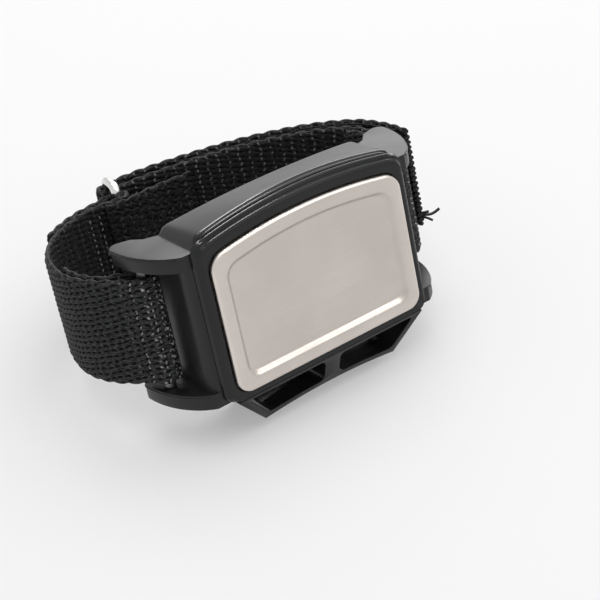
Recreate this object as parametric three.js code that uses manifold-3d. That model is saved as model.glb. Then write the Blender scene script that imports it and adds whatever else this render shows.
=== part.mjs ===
// Magnetic wristband: a steel-faced magnet case with lugs and a slotted guard, on a webbing strap that
// is closed through a wire ring. Millimetres, +Z up, standing on the guard and the ring as it is put down.
//
// Every piece is drawn in the case's own axes: X along the case, Y the depth behind the plate's rim,
// Z across the strap (up). The whole band is then leaned back until guard and ring both touch Z = 0.

import * as THREE from "three";
import { mergeVertices } from "three/addons/utils/BufferGeometryUtils.js";
import Module from "manifold-3d";

const wasm = await Module();
wasm.setup();

// Driving dimensions

const FIT = 0.3; // gap between pieces that seat on each other

const WEB_WIDTH = 25;
const WEB_THICK = 1.6;
const TAPE_THICK = 0.9;

const PLATE_LENGTH = 49;
const PLATE_MARGIN = 1.9; // case beyond the plate, below it and at the shoulders of its arch
const PLATE_BOW = 2.8;
const PLATE_CORNER = 4;
const SHEET = 0.8;
const RIM_WIDTH = 3.8;
const PANEL_SINK = 1;
const PLATE_PROUD = 1.15; // rim above the bezel's face
const EDGE_ROUND = 0.6;

const BEZEL_EDGE = 1.4; // bezel's face beside the plate
const BEZEL_HEAD = 2.3; // bezel's face above the plate
const BEZEL_THICK = 1.85;
const BEZEL_FLARE = 1.3;
const BEZEL_CORNER = 2;

const CASE_LENGTH = 58;
const CASE_HEIGHT = 36;
const CASE_DEPTH = 17.4; // from the rim to the wrist side
const CASE_WALL = 3;
const DECK = 1.6;
const CASE_CHAMFER = 2.2;
const CAVITY_CORNER = 3;

const ARCH_LENGTH = 51.6;
const ARCH_SHOULDER = 2.4; // arch wall above the case's flat top, at its ends
const ARCH_BOW_FRONT = 3.4;
const ARCH_BOW_BACK = 1.1;
const ARCH_LIP = 0.8;

const LUG_REACH = 36.2;
const LUG_THICK = 3.5;
const LUG_TIP_DEPTH = 22.1;
const LUG_ROUND = 2;
const LUG_CURVE_START = 24;
const BAR_X = 33;
const BAR_DEPTH = 14.8;

const GUARD_TOP_LENGTH = 49.6;
const GUARD_RAIL_LENGTH = 35.2;
const GUARD_DROP = 8.6; // rail's lower corners below the case
const GUARD_BOW = 1.4;
const GUARD_DEPTH = 17;
const GUARD_SLOPE = 0.43; // how far the guard's front edge falls back, per millimetre down
const RAIL_THICK = 1.2;
const STRUT_THICK = 2;
const RIB_WIDTH = 4;
const SLOT_TOP_WALL = 0.4;
const SLOT_ROUND = 1;

const MAGNET_LENGTH = 20;
const MAGNET_WIDTH = 24;
const MAGNET_THICK = 6;
const YOKE_THICK = 1.2;
const COVER_THICK = 2.6;
const COVER_BOW = 1.5;
const PAD_LENGTH = 6;
const PAD_WIDTH = 18;

const SCREW_INSET_X = 6.1; // screws in from the case's ends and sides
const SCREW_INSET_Z = 6.2;
const SCREW_SHANK = 1.8;
const SCREW_HEAD = 4;
const SCREW_HEAD_THICK = 1;
const SCREW_LENGTH = 9;
const BOSS_WALL = 1.2;

const BAR_DIAMETER = 2.6;
const BAR_BORE = 1.9;
const BAR_LIP_BORE = 1.4;
const BAR_LIP = 0.6;
const TIP_STEM = 0.9;
const TIP_ENGAGE = 1.8;
const TIP_PLUNGER = 2.4;
const TIP_PLUNGER_DIAMETER = 1.6;
const HOLE_SPARE = 0.6;
const SPRING_WIRE = 0.3;
const SPRING_TURNS = 13;
const SPRING_DIAMETER = 1.3;

const RING_WIRE = 2.2;
const RING_SPARE = 1.2; // ring's window beyond the webbing, both sides together
const RING_CORNER = 1.6;
const RING_INNER_X = -14.6; // bar in the short strap's fold
const RING_INNER_DEPTH = 58;
const RING_OUTER_X = -13.5; // bar in the long strap's fold
const RING_OUTER_DEPTH = 64.6;
const PEEL_GAP = 0.3; // crease between the fold and the tail
const WEB_SLIDE = 1.5; // how far the long strap has slid up its spring bar

// Worked-out sizes

const plateHalf = PLATE_LENGTH / 2;
const caseHalf = CASE_LENGTH / 2;
const caseTop = CASE_HEIGHT / 2;
const plateLow = PLATE_MARGIN - caseTop; // straight bottom edge
const plateShoulder = caseTop - PLATE_MARGIN; // where the arched top edge meets the sides
const bezelBack = PLATE_PROUD + BEZEL_THICK;
const caseFront = bezelBack + FIT;
const deckBack = caseFront + DECK;
const skirtEnd = caseFront - FIT;
const panelBack = PANEL_SINK + SHEET;
const magnetFront = panelBack + FIT;
const magnetBack = magnetFront + MAGNET_THICK;
const yokeFront = magnetBack + FIT;
const yokeBack = yokeFront + YOKE_THICK;
const coverFront = CASE_DEPTH - COVER_THICK;
const bossEnd = coverFront - FIT;
const lugInner = caseTop - LUG_THICK;
const barRadius = BAR_DIAMETER / 2;
const barEye = barRadius + FIT + WEB_THICK / 2; // middle of the webbing round a spring bar
const ringEye = RING_WIRE / 2 + FIT + WEB_THICK / 2; // middle of the webbing round a ring bar
const ringHalf = (WEB_WIDTH + RING_SPARE + RING_WIRE) / 2; // middle of the ring's short sides
const tapeOnTail = WEB_THICK + FIT;
const tapeOnStrap = tapeOnTail + TAPE_THICK + FIT;
const strapUnderTail = tapeOnStrap + TAPE_THICK + FIT;
const barLeft = new THREE.Vector2(-BAR_X, BAR_DEPTH);
const barRight = new THREE.Vector2(BAR_X, BAR_DEPTH);
const ringInner = new THREE.Vector2(RING_INNER_X, RING_INNER_DEPTH);
const ringOuter = new THREE.Vector2(RING_OUTER_X, RING_OUTER_DEPTH);

// Solids, joins and cuts

function solid(geometry) {
  const bare = geometry.clone();
  for (const name of Object.keys(bare.attributes)) {
    if (name !== "position") bare.deleteAttribute(name);
  }
  const merged = mergeVertices(bare, 1e-4);
  return new wasm.Manifold(
    new wasm.Mesh({
      numProp: 3,
      vertProperties: new Float32Array(merged.attributes.position.array),
      triVerts: new Uint32Array(merged.index.array),
    }),
  );
}

function join(geometries) {
  return geometries.map(solid).reduce((whole, next) => whole.add(next));
}

function cut(body, tools) {
  return tools.map(solid).reduce((left, tool) => left.subtract(tool), body);
}

function surface(manifold) {
  const mesh = manifold.getMesh();
  const geometry = new THREE.BufferGeometry();
  geometry.setAttribute("position", new THREE.BufferAttribute(new Float32Array(mesh.vertProperties), 3));
  geometry.setIndex(new THREE.BufferAttribute(new Uint32Array(mesh.triVerts), 1));
  const flat = geometry.toNonIndexed();
  flat.computeVertexNormals();
  return flat;
}

// Shapes

// An outline in X and Z, made solid from one depth to another.
function slab(points, front, back) {
  const geometry = new THREE.ExtrudeGeometry(new THREE.Shape(points), {
    depth: back - front,
    bevelEnabled: false,
  });
  return geometry.rotateX(Math.PI / 2).translate(0, back, 0);
}

// An outline in X and depth, made solid from one height to another.
function tall(points, low, high) {
  const geometry = new THREE.ExtrudeGeometry(new THREE.Shape(points), {
    depth: high - low,
    bevelEnabled: false,
  });
  return geometry.translate(0, 0, low);
}

// A skin over outlines of equal count, each at its own depth, closed at both ends.
function loft(sections) {
  const count = sections[0].points.length;
  const places = sections.flatMap(({ points, depth }) => points.flatMap((p) => [p.x, depth, p.y]));
  const faces = [];
  for (let s = 0; s + 1 < sections.length; s += 1) {
    for (let i = 0; i < count; i += 1) {
      const a = s * count + i;
      const b = s * count + ((i + 1) % count);
      faces.push(a, a + count, b, b, a + count, b + count);
    }
  }
  const last = (sections.length - 1) * count;
  const ends = [sections[0], sections[sections.length - 1]];
  const caps = ends.map((end) => THREE.ShapeUtils.triangulateShape(end.points, []));
  for (const [a, b, c] of caps[0]) faces.push(a, b, c);
  for (const [a, b, c] of caps[1]) faces.push(last + a, last + c, last + b);
  const geometry = new THREE.BufferGeometry();
  geometry.setAttribute("position", new THREE.Float32BufferAttribute(places, 3));
  geometry.setIndex(faces);
  return geometry;
}

function box(length, width, front, back, x = 0) {
  return new THREE.BoxGeometry(length, back - front, width).translate(x, (front + back) / 2, 0);
}

function rod(x, z, diameter, front, back, sides = 16) {
  const geometry = new THREE.CylinderGeometry(diameter / 2, diameter / 2, back - front, sides);
  return geometry.translate(x, (front + back) / 2, z);
}

function curveTo(from, control, to, steps) {
  return new THREE.QuadraticBezierCurve(from, control, to).getPoints(steps);
}

// Straight bottom and sides, an arched top and four round corners.
function archOutline(half, low, shoulder, bow, round) {
  const top = (x) => shoulder + bow * (1 - (x / half) ** 2);
  const at = (x, y) => new THREE.Vector2(x, y);
  const inner = half - round;
  const arch = [];
  const archSteps = 12;
  for (let i = 1; i < archSteps; i += 1) {
    const x = inner * (1 - (2 * i) / archSteps);
    arch.push(at(x, top(x)));
  }
  return [
    ...curveTo(at(-half, low + round), at(-half, low), at(-inner, low), 4),
    ...curveTo(at(inner, low), at(half, low), at(half, low + round), 4),
    ...curveTo(at(half, shoulder - round), at(half, shoulder), at(inner, top(inner)), 4),
    ...arch,
    ...curveTo(at(-inner, top(inner)), at(-half, shoulder), at(-half, shoulder - round), 4),
  ];
}

function plateOutline(grow) {
  return archOutline(
    plateHalf + grow,
    plateLow - grow,
    plateShoulder + grow,
    PLATE_BOW,
    PLATE_CORNER + grow,
  );
}

// Face plate, bezel and case

function facePlate() {
  const panel = -RIM_WIDTH;
  const shell = loft([
    { points: plateOutline(-EDGE_ROUND), depth: 0 },
    { points: plateOutline(-EDGE_ROUND / 4), depth: EDGE_ROUND / 2 },
    { points: plateOutline(0), depth: EDGE_ROUND * 1.5 },
    { points: plateOutline(0), depth: skirtEnd },
  ]);
  const hollow = slab(plateOutline(-SHEET), SHEET, skirtEnd + 1);
  const dish = slab(plateOutline(panel + SHEET), SHEET / 2, panelBack);
  const sink = slab(plateOutline(panel), -1, PANEL_SINK);
  return surface(cut(cut(solid(shell), [hollow]).add(solid(dish)), [sink]));
}

function bezelOutline(flare, bow) {
  return archOutline(
    plateHalf + BEZEL_EDGE + flare,
    guardSplit + FIT,
    plateShoulder + BEZEL_HEAD,
    bow,
    BEZEL_CORNER,
  );
}

const guardSplit = -caseTop; // guard starts here, just below the bezel

function frontBezel() {
  const frame = loft([
    { points: bezelOutline(0, PLATE_BOW), depth: PLATE_PROUD },
    { points: bezelOutline(BEZEL_FLARE, PLATE_BOW + BEZEL_FLARE), depth: bezelBack },
  ]);
  return surface(cut(solid(frame), [slab(plateOutline(FIT), 0, bezelBack + 1)]));
}

// One end of the case seen from above: the curved front of the lug, its round tip and its short back.
function lugOutline(side) {
  const long = LUG_REACH - LUG_CURVE_START;
  const deep = LUG_TIP_DEPTH - LUG_ROUND - caseFront + CASE_WALL / 2;
  const centre = LUG_TIP_DEPTH - LUG_ROUND;
  const start = Math.acos((centre - caseFront) / deep);
  const points = [new THREE.Vector2(LUG_CURVE_START - CASE_WALL, caseFront)];
  const steps = 9;
  for (let i = 0; i <= steps; i += 1) {
    const angle = start + ((Math.PI / 2 - start) * i) / steps;
    points.push(new THREE.Vector2(
      LUG_CURVE_START + long * Math.sin(angle),
      centre - deep * Math.cos(angle),
    ));
  }
  for (let i = 1; i <= 5; i += 1) {
    const angle = (Math.PI * 0.55 * i) / 5;
    points.push(new THREE.Vector2(
      LUG_REACH - LUG_ROUND * (1 - Math.cos(angle)),
      centre + LUG_ROUND * Math.sin(angle),
    ));
  }
  points.push(new THREE.Vector2(caseHalf + LUG_ROUND, CASE_DEPTH + LUG_ROUND * 1.85));
  points.push(new THREE.Vector2(caseHalf, CASE_DEPTH + LUG_ROUND * 0.6));
  points.push(new THREE.Vector2(caseHalf - CASE_WALL, CASE_DEPTH));
  points.push(new THREE.Vector2(LUG_CURVE_START - CASE_WALL, CASE_DEPTH));
  return side > 0 ? points : points.map((p) => new THREE.Vector2(-p.x, p.y)).reverse();
}

// Arched wall over the case, highest just behind the bezel and lower towards the wrist.
function archSection(shoulder, bow) {
  const half = ARCH_LENGTH / 2;
  const points = [new THREE.Vector2(-half, caseTop - LUG_THICK), new THREE.Vector2(half, caseTop - LUG_THICK)];
  const steps = 14;
  for (let i = 0; i <= steps; i += 1) {
    const x = half * (1 - (2 * i) / steps);
    points.push(new THREE.Vector2(x, caseTop + shoulder + bow * (1 - (x / half) ** 2)));
  }
  return points;
}

function archWall() {
  return loft([
    { points: archSection(ARCH_SHOULDER - ARCH_LIP, ARCH_BOW_FRONT), depth: caseFront },
    { points: archSection(ARCH_SHOULDER, ARCH_BOW_FRONT), depth: caseFront + ARCH_LIP },
    { points: archSection(ARCH_SHOULDER - ARCH_LIP, ARCH_BOW_BACK), depth: CASE_DEPTH },
  ]);
}

const railLow = -caseTop - GUARD_DROP;

function guardOutline(top) {
  const halfTop = GUARD_TOP_LENGTH / 2;
  const halfRail = GUARD_RAIL_LENGTH / 2;
  const at = (x, z) => new THREE.Vector2(x, z);
  const rail = curveTo(at(-halfRail, railLow), at(0, railLow + 2 * GUARD_BOW), at(halfRail, railLow), 10);
  return [at(-halfTop, top), at(-halfTop, -caseTop), ...rail, at(halfTop, -caseTop), at(halfTop, top)];
}

// One tool slot, between the rib, the rail and the slanted strut.
function slotOutline(side) {
  const top = -caseTop - SLOT_TOP_WALL;
  const halfTop = GUARD_TOP_LENGTH / 2;
  const halfRail = GUARD_RAIL_LENGTH / 2;
  const strut = (z) => halfTop + ((halfRail - halfTop) * (-caseTop - z)) / GUARD_DROP - STRUT_THICK;
  const rail = (x) => railLow + GUARD_BOW * (1 - (x / halfRail) ** 2) + RAIL_THICK;
  const low = rail(halfRail - STRUT_THICK);
  const corners = [
    new THREE.Vector2(RIB_WIDTH / 2, top),
    new THREE.Vector2(RIB_WIDTH / 2, rail(RIB_WIDTH / 2)),
    new THREE.Vector2(strut(low), low),
    new THREE.Vector2(strut(top), top),
  ];
  const points = [];
  corners.forEach((corner, i) => {
    const before = corners[(i + 3) % 4];
    const after = corners[(i + 1) % 4];
    const from = corner.clone().add(before.clone().sub(corner).setLength(SLOT_ROUND));
    const to = corner.clone().add(after.clone().sub(corner).setLength(SLOT_ROUND));
    points.push(...curveTo(from, corner, to, 3));
  });
  return side > 0 ? points : points.map((p) => new THREE.Vector2(-p.x, p.y)).reverse();
}

// Everything in front of the guard's sloping front edge.
function guardSlope() {
  const high = guardSplit;
  const low = railLow - 1;
  const front = PLATE_PROUD;
  const fall = GUARD_SLOPE * (high - low);
  const side = new THREE.Shape([
    new THREE.Vector2(front, high),
    new THREE.Vector2(front + fall, low),
    new THREE.Vector2(front - fall, low),
    new THREE.Vector2(front - fall, high),
  ]);
  const wedge = new THREE.ExtrudeGeometry(side, { depth: GUARD_TOP_LENGTH + 2, bevelEnabled: false });
  // the shape's own X becomes depth and its Y height, swept along the case
  return wedge
    .applyMatrix4(new THREE.Matrix4().makeBasis(
      new THREE.Vector3(0, 1, 0),
      new THREE.Vector3(0, 0, 1),
      new THREE.Vector3(1, 0, 0),
    ))
    .translate(-GUARD_TOP_LENGTH / 2 - 1, 0, 0);
}

function caseProfile() {
  const at = (x, depth) => new THREE.Vector2(x, depth);
  return [
    at(-caseHalf + CASE_CHAMFER, caseFront),
    at(caseHalf - CASE_CHAMFER, caseFront),
    at(caseHalf, caseFront + CASE_CHAMFER),
    at(caseHalf, CASE_DEPTH),
    at(-caseHalf, CASE_DEPTH),
    at(-caseHalf, caseFront + CASE_CHAMFER),
  ];
}

function cavityOutline(grow) {
  const half = caseHalf - CASE_WALL + grow;
  const side = caseTop - CASE_WALL + grow;
  return archOutline(half, -side, side, COVER_BOW, CAVITY_CORNER + grow);
}

const screwX = caseHalf - SCREW_INSET_X;
const screwZ = caseTop - SCREW_INSET_Z;
const screwPlaces = [-1, 1].flatMap((x) => [-1, 1].map((z) => [x * screwX, z * screwZ]));
const screwHole = SCREW_SHANK + 2 * FIT;

function midCase() {
  const body = join([
    tall(caseProfile(), -caseTop, caseTop),
    ...[-1, 1].flatMap((side) => [
      tall(lugOutline(side), lugInner, caseTop),
      tall(lugOutline(side), -caseTop, -lugInner),
    ]),
    archWall(),
    slab(guardOutline(-caseTop + CASE_WALL / 2), caseFront, GUARD_DEPTH),
    slab(guardOutline(guardSplit), PLATE_PROUD, caseFront + FIT),
  ]);
  const hollow = cut(body, [
    guardSlope(),
    slab(slotOutline(1), -1, CASE_DEPTH + 1),
    slab(slotOutline(-1), -1, CASE_DEPTH + 1),
    slab(cavityOutline(0), deckBack, CASE_DEPTH + 1),
    box(2 * MAGNET_LENGTH + 3 * FIT, MAGNET_WIDTH + 2 * FIT, 0, deckBack + 1),
  ]);
  const bosses = screwPlaces.map(([x, z]) => rod(x, z, screwHole + 2 * BOSS_WALL, deckBack - DECK / 2, bossEnd));
  const screwHoles = screwPlaces.map(([x, z]) => rod(x, z, screwHole, coverFront - SCREW_LENGTH, CASE_DEPTH));
  const barHoles = [-1, 1].flatMap((side) => [-1, 1].map((end) => {
    const depth = TIP_ENGAGE + HOLE_SPARE;
    const hole = new THREE.CylinderGeometry(TIP_STEM / 2 + FIT, TIP_STEM / 2 + FIT, 2 * depth, 12);
    return hole.rotateX(Math.PI / 2).translate(side * BAR_X, BAR_DEPTH, end * lugInner);
  }));
  const whole = bosses.map(solid).reduce((left, boss) => left.add(boss), hollow);
  return surface(cut(whole, [...screwHoles, ...barHoles]));
}

// Magnets, yoke, back cover and screws

function magnet(side) {
  return box(MAGNET_LENGTH, MAGNET_WIDTH, magnetFront, magnetBack, (side * (MAGNET_LENGTH + FIT)) / 2);
}

function magnetYoke() {
  return box(2 * MAGNET_LENGTH + FIT, MAGNET_WIDTH, yokeFront, yokeBack);
}

function backCover() {
  const lid = join([
    slab(cavityOutline(-FIT), coverFront, CASE_DEPTH),
    ...[-1, 1].map((side) => box(PAD_LENGTH, PAD_WIDTH, yokeBack + FIT, coverFront + 1, (side * MAGNET_LENGTH) / 2)),
  ]);
  const seat = CASE_DEPTH - SCREW_HEAD_THICK - 2 * FIT;
  const holes = screwPlaces.flatMap(([x, z]) => [
    rod(x, z, screwHole, coverFront - 1, CASE_DEPTH + 1),
    rod(x, z, SCREW_HEAD + 2 * FIT, seat, CASE_DEPTH + 1),
  ]);
  return surface(cut(lid, holes));
}

function coverScrew([x, z]) {
  const top = CASE_DEPTH - FIT;
  const under = top - SCREW_HEAD_THICK;
  const end = coverFront - SCREW_LENGTH + FIT;
  const profile = [
    [0, end],
    [SCREW_SHANK / 2, end + SCREW_SHANK / 2],
    [SCREW_SHANK / 2, under],
    [SCREW_HEAD / 2, under],
    [SCREW_HEAD / 2, top],
    [0, top],
  ].map(([r, y]) => new THREE.Vector2(r, y));
  return new THREE.LatheGeometry(profile, 12).translate(x, 0, z);
}

// Spring bars

const tubeHalf = lugInner - FIT;
const plungerTop = tubeHalf - BAR_LIP - FIT;
const springHalf = plungerTop - TIP_PLUNGER - FIT;

// A turned piece whose axis runs along Z, from radius and height pairs.
function turned(profile, sides = 14) {
  const points = profile.map(([r, z]) => new THREE.Vector2(r, z));
  return new THREE.LatheGeometry(points, sides).rotateX(Math.PI / 2);
}

function barTube() {
  const inner = BAR_BORE / 2;
  const lip = BAR_LIP_BORE / 2;
  const outline = [
    [barRadius, -tubeHalf],
    [barRadius, tubeHalf],
    [lip, tubeHalf],
    [lip, tubeHalf - BAR_LIP],
    [inner, tubeHalf - BAR_LIP],
    [inner, -tubeHalf + BAR_LIP],
    [lip, -tubeHalf + BAR_LIP],
    [lip, -tubeHalf],
    [barRadius, -tubeHalf],
  ];
  return turned(outline);
}

function barTip(end) {
  const stem = TIP_STEM / 2;
  const plunger = TIP_PLUNGER_DIAMETER / 2;
  const tip = turned([
    [0, plungerTop - TIP_PLUNGER],
    [plunger, plungerTop - TIP_PLUNGER],
    [plunger, plungerTop],
    [stem, plungerTop],
    [stem, lugInner + TIP_ENGAGE - stem],
    [0, lugInner + TIP_ENGAGE],
  ]);
  return end > 0 ? tip : tip.rotateX(Math.PI);
}

class Coil extends THREE.Curve {
  getPoint(t, target = new THREE.Vector3()) {
    const angle = 2 * Math.PI * SPRING_TURNS * t;
    const radius = (SPRING_DIAMETER - SPRING_WIRE) / 2;
    const rise = (springHalf - SPRING_WIRE / 2) * (2 * t - 1);
    return target.set(radius * Math.cos(angle), radius * Math.sin(angle), rise);
  }
}

function barSpring() {
  const section = new THREE.Shape(arcPoints(new THREE.Vector2(), SPRING_WIRE / 2, 0, 2 * Math.PI, 5).slice(1));
  return new THREE.ExtrudeGeometry(section, {
    extrudePath: new Coil(),
    steps: SPRING_TURNS * 8,
    bevelEnabled: false,
  });
}

// Webbing: a band between two distances inside a curve, drawn in X and depth

function sideways(curve, t, distance, turn) {
  const along = curve.getTangentAt(t);
  const point = curve.getPointAt(t);
  return new THREE.Vector2(point.x - turn * along.y * distance, point.y + turn * along.x * distance);
}

function band(curve, near, far, turn, from = 0, to = 1, steps = 30) {
  const row = (distance) => Array.from({ length: steps + 1 }, (_, i) => (
    sideways(curve, from + ((to - from) * i) / steps, distance, turn)
  ));
  const points = [...row(near), ...row(far).reverse()];
  const outline = THREE.ShapeUtils.isClockWise(points) ? points.reverse() : points;
  return tall(outline, -WEB_WIDTH / 2, WEB_WIDTH / 2);
}

function arcPoints(centre, radius, from, to, steps) {
  return Array.from({ length: steps + 1 }, (_, i) => {
    const angle = from + ((to - from) * i) / steps;
    return new THREE.Vector2(centre.x + radius * Math.cos(angle), centre.y + radius * Math.sin(angle));
  });
}

// Webbing all the way round a bar.
function eye(centre, radius, steps = 20) {
  const half = WEB_THICK / 2;
  const outline = new THREE.Shape(arcPoints(centre, radius + half, 0, 2 * Math.PI, steps).slice(1));
  outline.holes.push(new THREE.Path(arcPoints(centre, radius - half, 0, 2 * Math.PI, steps).slice(1)));
  const geometry = new THREE.ExtrudeGeometry(outline, { depth: WEB_WIDTH, bevelEnabled: false });
  return geometry.translate(0, 0, -WEB_WIDTH / 2);
}

const SEW = 0.15; // sewn layers run into each other by this much
const LEAVE = (33 * Math.PI) / 180; // how the webbing leaves a spring bar

// Points set out between a bar and the ring: a share of the way, and a share of that length to the side.
function bowed(from, to, shares) {
  const way = to.clone().sub(from);
  return shares.map(([along, aside]) => new THREE.Vector2(
    from.x + along * way.x - aside * way.y,
    from.y + along * way.y + aside * way.x,
  ));
}

// The short strap's outer face, from the left bar round to the ring.
const shortRun = new THREE.SplineCurve([
  new THREE.Vector2(
    barLeft.x - (barEye + WEB_THICK / 2) * Math.cos(LEAVE),
    barLeft.y - (barEye + WEB_THICK / 2) * Math.sin(LEAVE),
  ),
  ...bowed(barLeft, ringInner, [
    [-0.0056, 0.111],
    [0.0446, 0.1996],
    [0.1164, 0.2811],
    [0.2169, 0.3493],
    [0.3387, 0.3896],
    [0.4886, 0.4072],
    [0.6435, 0.3806],
    [0.782, 0.3053],
    [0.8975, 0.1971],
    [0.9504, 0.0946],
  ]),
  new THREE.Vector2(ringInner.x, ringInner.y - ringEye + WEB_THICK / 2),
]);

// The tail's outer face, from the ring round the back to the cut end behind the right lugs.
const tailRun = new THREE.SplineCurve([
  new THREE.Vector2(ringOuter.x, ringOuter.y + ringEye + WEB_THICK / 2),
  ...bowed(ringOuter, barRight, [
    [0.0182, 0.0754],
    [0.0829, 0.1254],
    [0.1745, 0.1804],
    [0.2765, 0.2338],
    [0.3767, 0.2787],
    [0.4774, 0.3113],
    [0.5845, 0.3357],
    [0.689, 0.3486],
    [0.7793, 0.3486],
    [0.8567, 0.3326],
    [0.9287, 0.2935],
    [0.983, 0.2528],
    [1.0292, 0.2076],
  ]),
]);

const midUnderTail = strapUnderTail + WEB_THICK / 2;
const TAIL_LEAVES_STRAP = 0.88; // share of the tail beside which the long strap turns in to its bar

// The long strap's middle, from the fold round the ring's outer bar to the right bar.
const longRun = new THREE.SplineCurve([
  ...arcPoints(ringOuter, ringEye, Math.PI / 2, 1.5 * Math.PI, 10),
  ...[0.06, 0.15, 0.26, 0.37, 0.48, 0.58, 0.68, 0.78, TAIL_LEAVES_STRAP].map((t) => (
    sideways(tailRun, t, midUnderTail, -1)
  )),
  ...bowed(ringOuter, barRight, [
    [0.9863, 0.1273],
    [1.0185, 0.0671],
  ]),
  new THREE.Vector2(
    barRight.x + barEye * Math.cos(LEAVE),
    barRight.y - barEye * Math.sin(LEAVE),
  ),
]);

// The sewn end on the wrist side of a strap, from the back of its bar to the layer that it is sewn to.
function sewnReturn(bar, side, places) {
  const start = new THREE.Vector2(
    bar.x - side * barEye * Math.cos(LEAVE),
    bar.y + barEye * Math.sin(LEAVE),
  );
  return new THREE.SplineCurve([start, ...places]);
}

function shortStrap() {
  const middle = 1.5 * WEB_THICK - SEW;
  const inside = sewnReturn(barLeft, -1, [0.15, 0.2, 0.25, 0.3, 0.35].map((t) => (
    sideways(shortRun, t, middle, -1)
  )));
  const foldBack = new THREE.SplineCurve([
    new THREE.Vector2(ringInner.x, ringInner.y + ringEye),
    new THREE.Vector2(ringInner.x - 1.5 * RING_WIRE, ringInner.y + ringEye + FIT),
    ...[0.875, 0.82, 0.77, 0.72, 0.67].map((t) => sideways(shortRun, t, WEB_THICK / 2 - SEW, 1)),
  ]);
  const half = WEB_THICK / 2;
  return surface(join([
    band(shortRun, 0, WEB_THICK, -1, 0, 1, 44),
    eye(barLeft, barEye),
    band(inside, -half, half, 1, 0, 1, 16),
    eye(ringInner, ringEye),
    band(foldBack, -half, half, 1, 0, 1, 18),
  ]));
}

function longStrap() {
  const half = WEB_THICK / 2;
  const middle = WEB_THICK - SEW;
  const inside = sewnReturn(barRight, 1, [0.9, 0.87, 0.84, 0.81, 0.78].map((t) => (
    sideways(longRun, t, middle, -1)
  )));
  return surface(join([
    band(longRun, -half, half, 1, 0, 1, 64),
    eye(barRight, barEye),
    band(inside, -half, half, 1, 0, 1, 16),
  ]));
}

// The long strap and what is on it rise evenly from the ring to where it has slid up the right bar.
function slide(geometry) {
  const place = geometry.attributes.position;
  for (let i = 0; i < place.count; i += 1) {
    const share = (place.getX(i) - ringOuter.x) / (barRight.x - ringOuter.x);
    place.setZ(i, place.getZ(i) + WEB_SLIDE * Math.min(Math.max(share, 0), 1));
  }
  geometry.computeVertexNormals();
  return geometry;
}

const peelStart = PEEL_GAP / tailRun.getLength();

function strapTail() {
  return band(tailRun, 0, WEB_THICK, -1, peelStart, 1, 46);
}

const LOOP_SPAN = [0.24, 0.84];
const HOOK_SPAN = [0.6, 0.97];

function loopTape() {
  return band(tailRun, tapeOnStrap, tapeOnStrap + TAPE_THICK, -1, ...LOOP_SPAN, 28);
}

function hookTape() {
  return band(tailRun, tapeOnTail, tapeOnTail + TAPE_THICK, -1, ...HOOK_SPAN, 22);
}

// Wire ring, drawn flat and then stood between its two bars
function buckleRing() {
  const reach = ringOuter.distanceTo(ringInner) / 2;
  const outline = (grow) => {
    const x = reach + grow;
    const z = ringHalf + grow;
    const r = RING_CORNER + grow;
    const at = (a, b) => new THREE.Vector2(a, b);
    return [
      ...curveTo(at(x, -z + r), at(x, -z), at(x - r, -z), 4),
      ...curveTo(at(-x + r, -z), at(-x, -z), at(-x, -z + r), 4),
      ...curveTo(at(-x, z - r), at(-x, z), at(-x + r, z), 4),
      ...curveTo(at(x - r, z), at(x, z), at(x, z - r), 4),
    ].reverse();
  };
  const bevel = RING_WIRE * 0.3;
  const ring = new THREE.Shape(outline(RING_WIRE / 2 - bevel));
  ring.holes.push(new THREE.Path(outline(-RING_WIRE / 2 + bevel)));
  const flat = new THREE.ExtrudeGeometry(ring, {
    depth: RING_WIRE - 2 * bevel,
    bevelThickness: bevel,
    bevelSize: bevel,
    bevelSegments: 2,
  });
  const across = ringOuter.clone().sub(ringInner).normalize();
  const stand = new THREE.Matrix4().makeBasis(
    new THREE.Vector3(across.x, across.y, 0),
    new THREE.Vector3(0, 0, 1),
    new THREE.Vector3(across.y, -across.x, 0),
  );
  const middle = ringOuter.clone().add(ringInner).multiplyScalar(0.5);
  return flat
    .translate(0, 0, -RING_WIRE / 2 + bevel)
    .applyMatrix4(stand)
    .translate(middle.x, middle.y, 0);
}

// Materials

function finish(colour, roughness, metalness = 0) {
  return new THREE.MeshStandardMaterial({ color: colour, roughness, metalness });
}

const steel = () => finish(0xc6beb8, 0.35, 1);
const plating = () => finish(0xd8d6d0, 0.25, 1);
const darkSteel = () => finish(0x6e6e70, 0.4, 1);
const ferrite = () => finish(0x2b2b2d, 0.7);
const casing = () => finish(0x2c2d2f, 0.55);
const webbing = () => finish(0x17181a, 0.9);
const pile = () => finish(0x1c1d1f, 1);

// The band

const band3d = new THREE.Group();

function place(name, geometry, material) {
  const mesh = new THREE.Mesh(geometry, material);
  mesh.name = name;
  band3d.add(mesh);
  return mesh;
}

place("face_plate", facePlate(), steel());
place("front_bezel", frontBezel(), casing());
const caseMesh = place("mid_case", midCase(), casing());
place("magnet_left", magnet(-1), ferrite());
place("magnet_right", magnet(1), ferrite());
place("magnet_yoke", magnetYoke(), darkSteel());
place("back_cover", backCover(), casing());
screwPlaces.forEach((spot, i) => place(`cover_screw_${i + 1}`, coverScrew(spot), darkSteel()));

for (const [side, bar] of [["left", barLeft], ["right", barRight]]) {
  const pieces = [
    place(`bar_tube_${side}`, barTube(), darkSteel()),
    place(`bar_tip_${side}_upper`, barTip(1), darkSteel()),
    place(`bar_tip_${side}_lower`, barTip(-1), darkSteel()),
    place(`bar_spring_${side}`, barSpring(), darkSteel()),
  ];
  for (const piece of pieces) piece.position.set(bar.x, bar.y, 0);
}

place("short_strap", shortStrap(), webbing());
const ringMesh = place("buckle_ring", buckleRing(), plating());
place("long_strap", slide(longStrap()), webbing());
place("strap_tail", slide(strapTail()), webbing());
place("loop_tape", slide(loopTape()), pile());
place("hook_tape", slide(hookTape()), pile());

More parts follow.
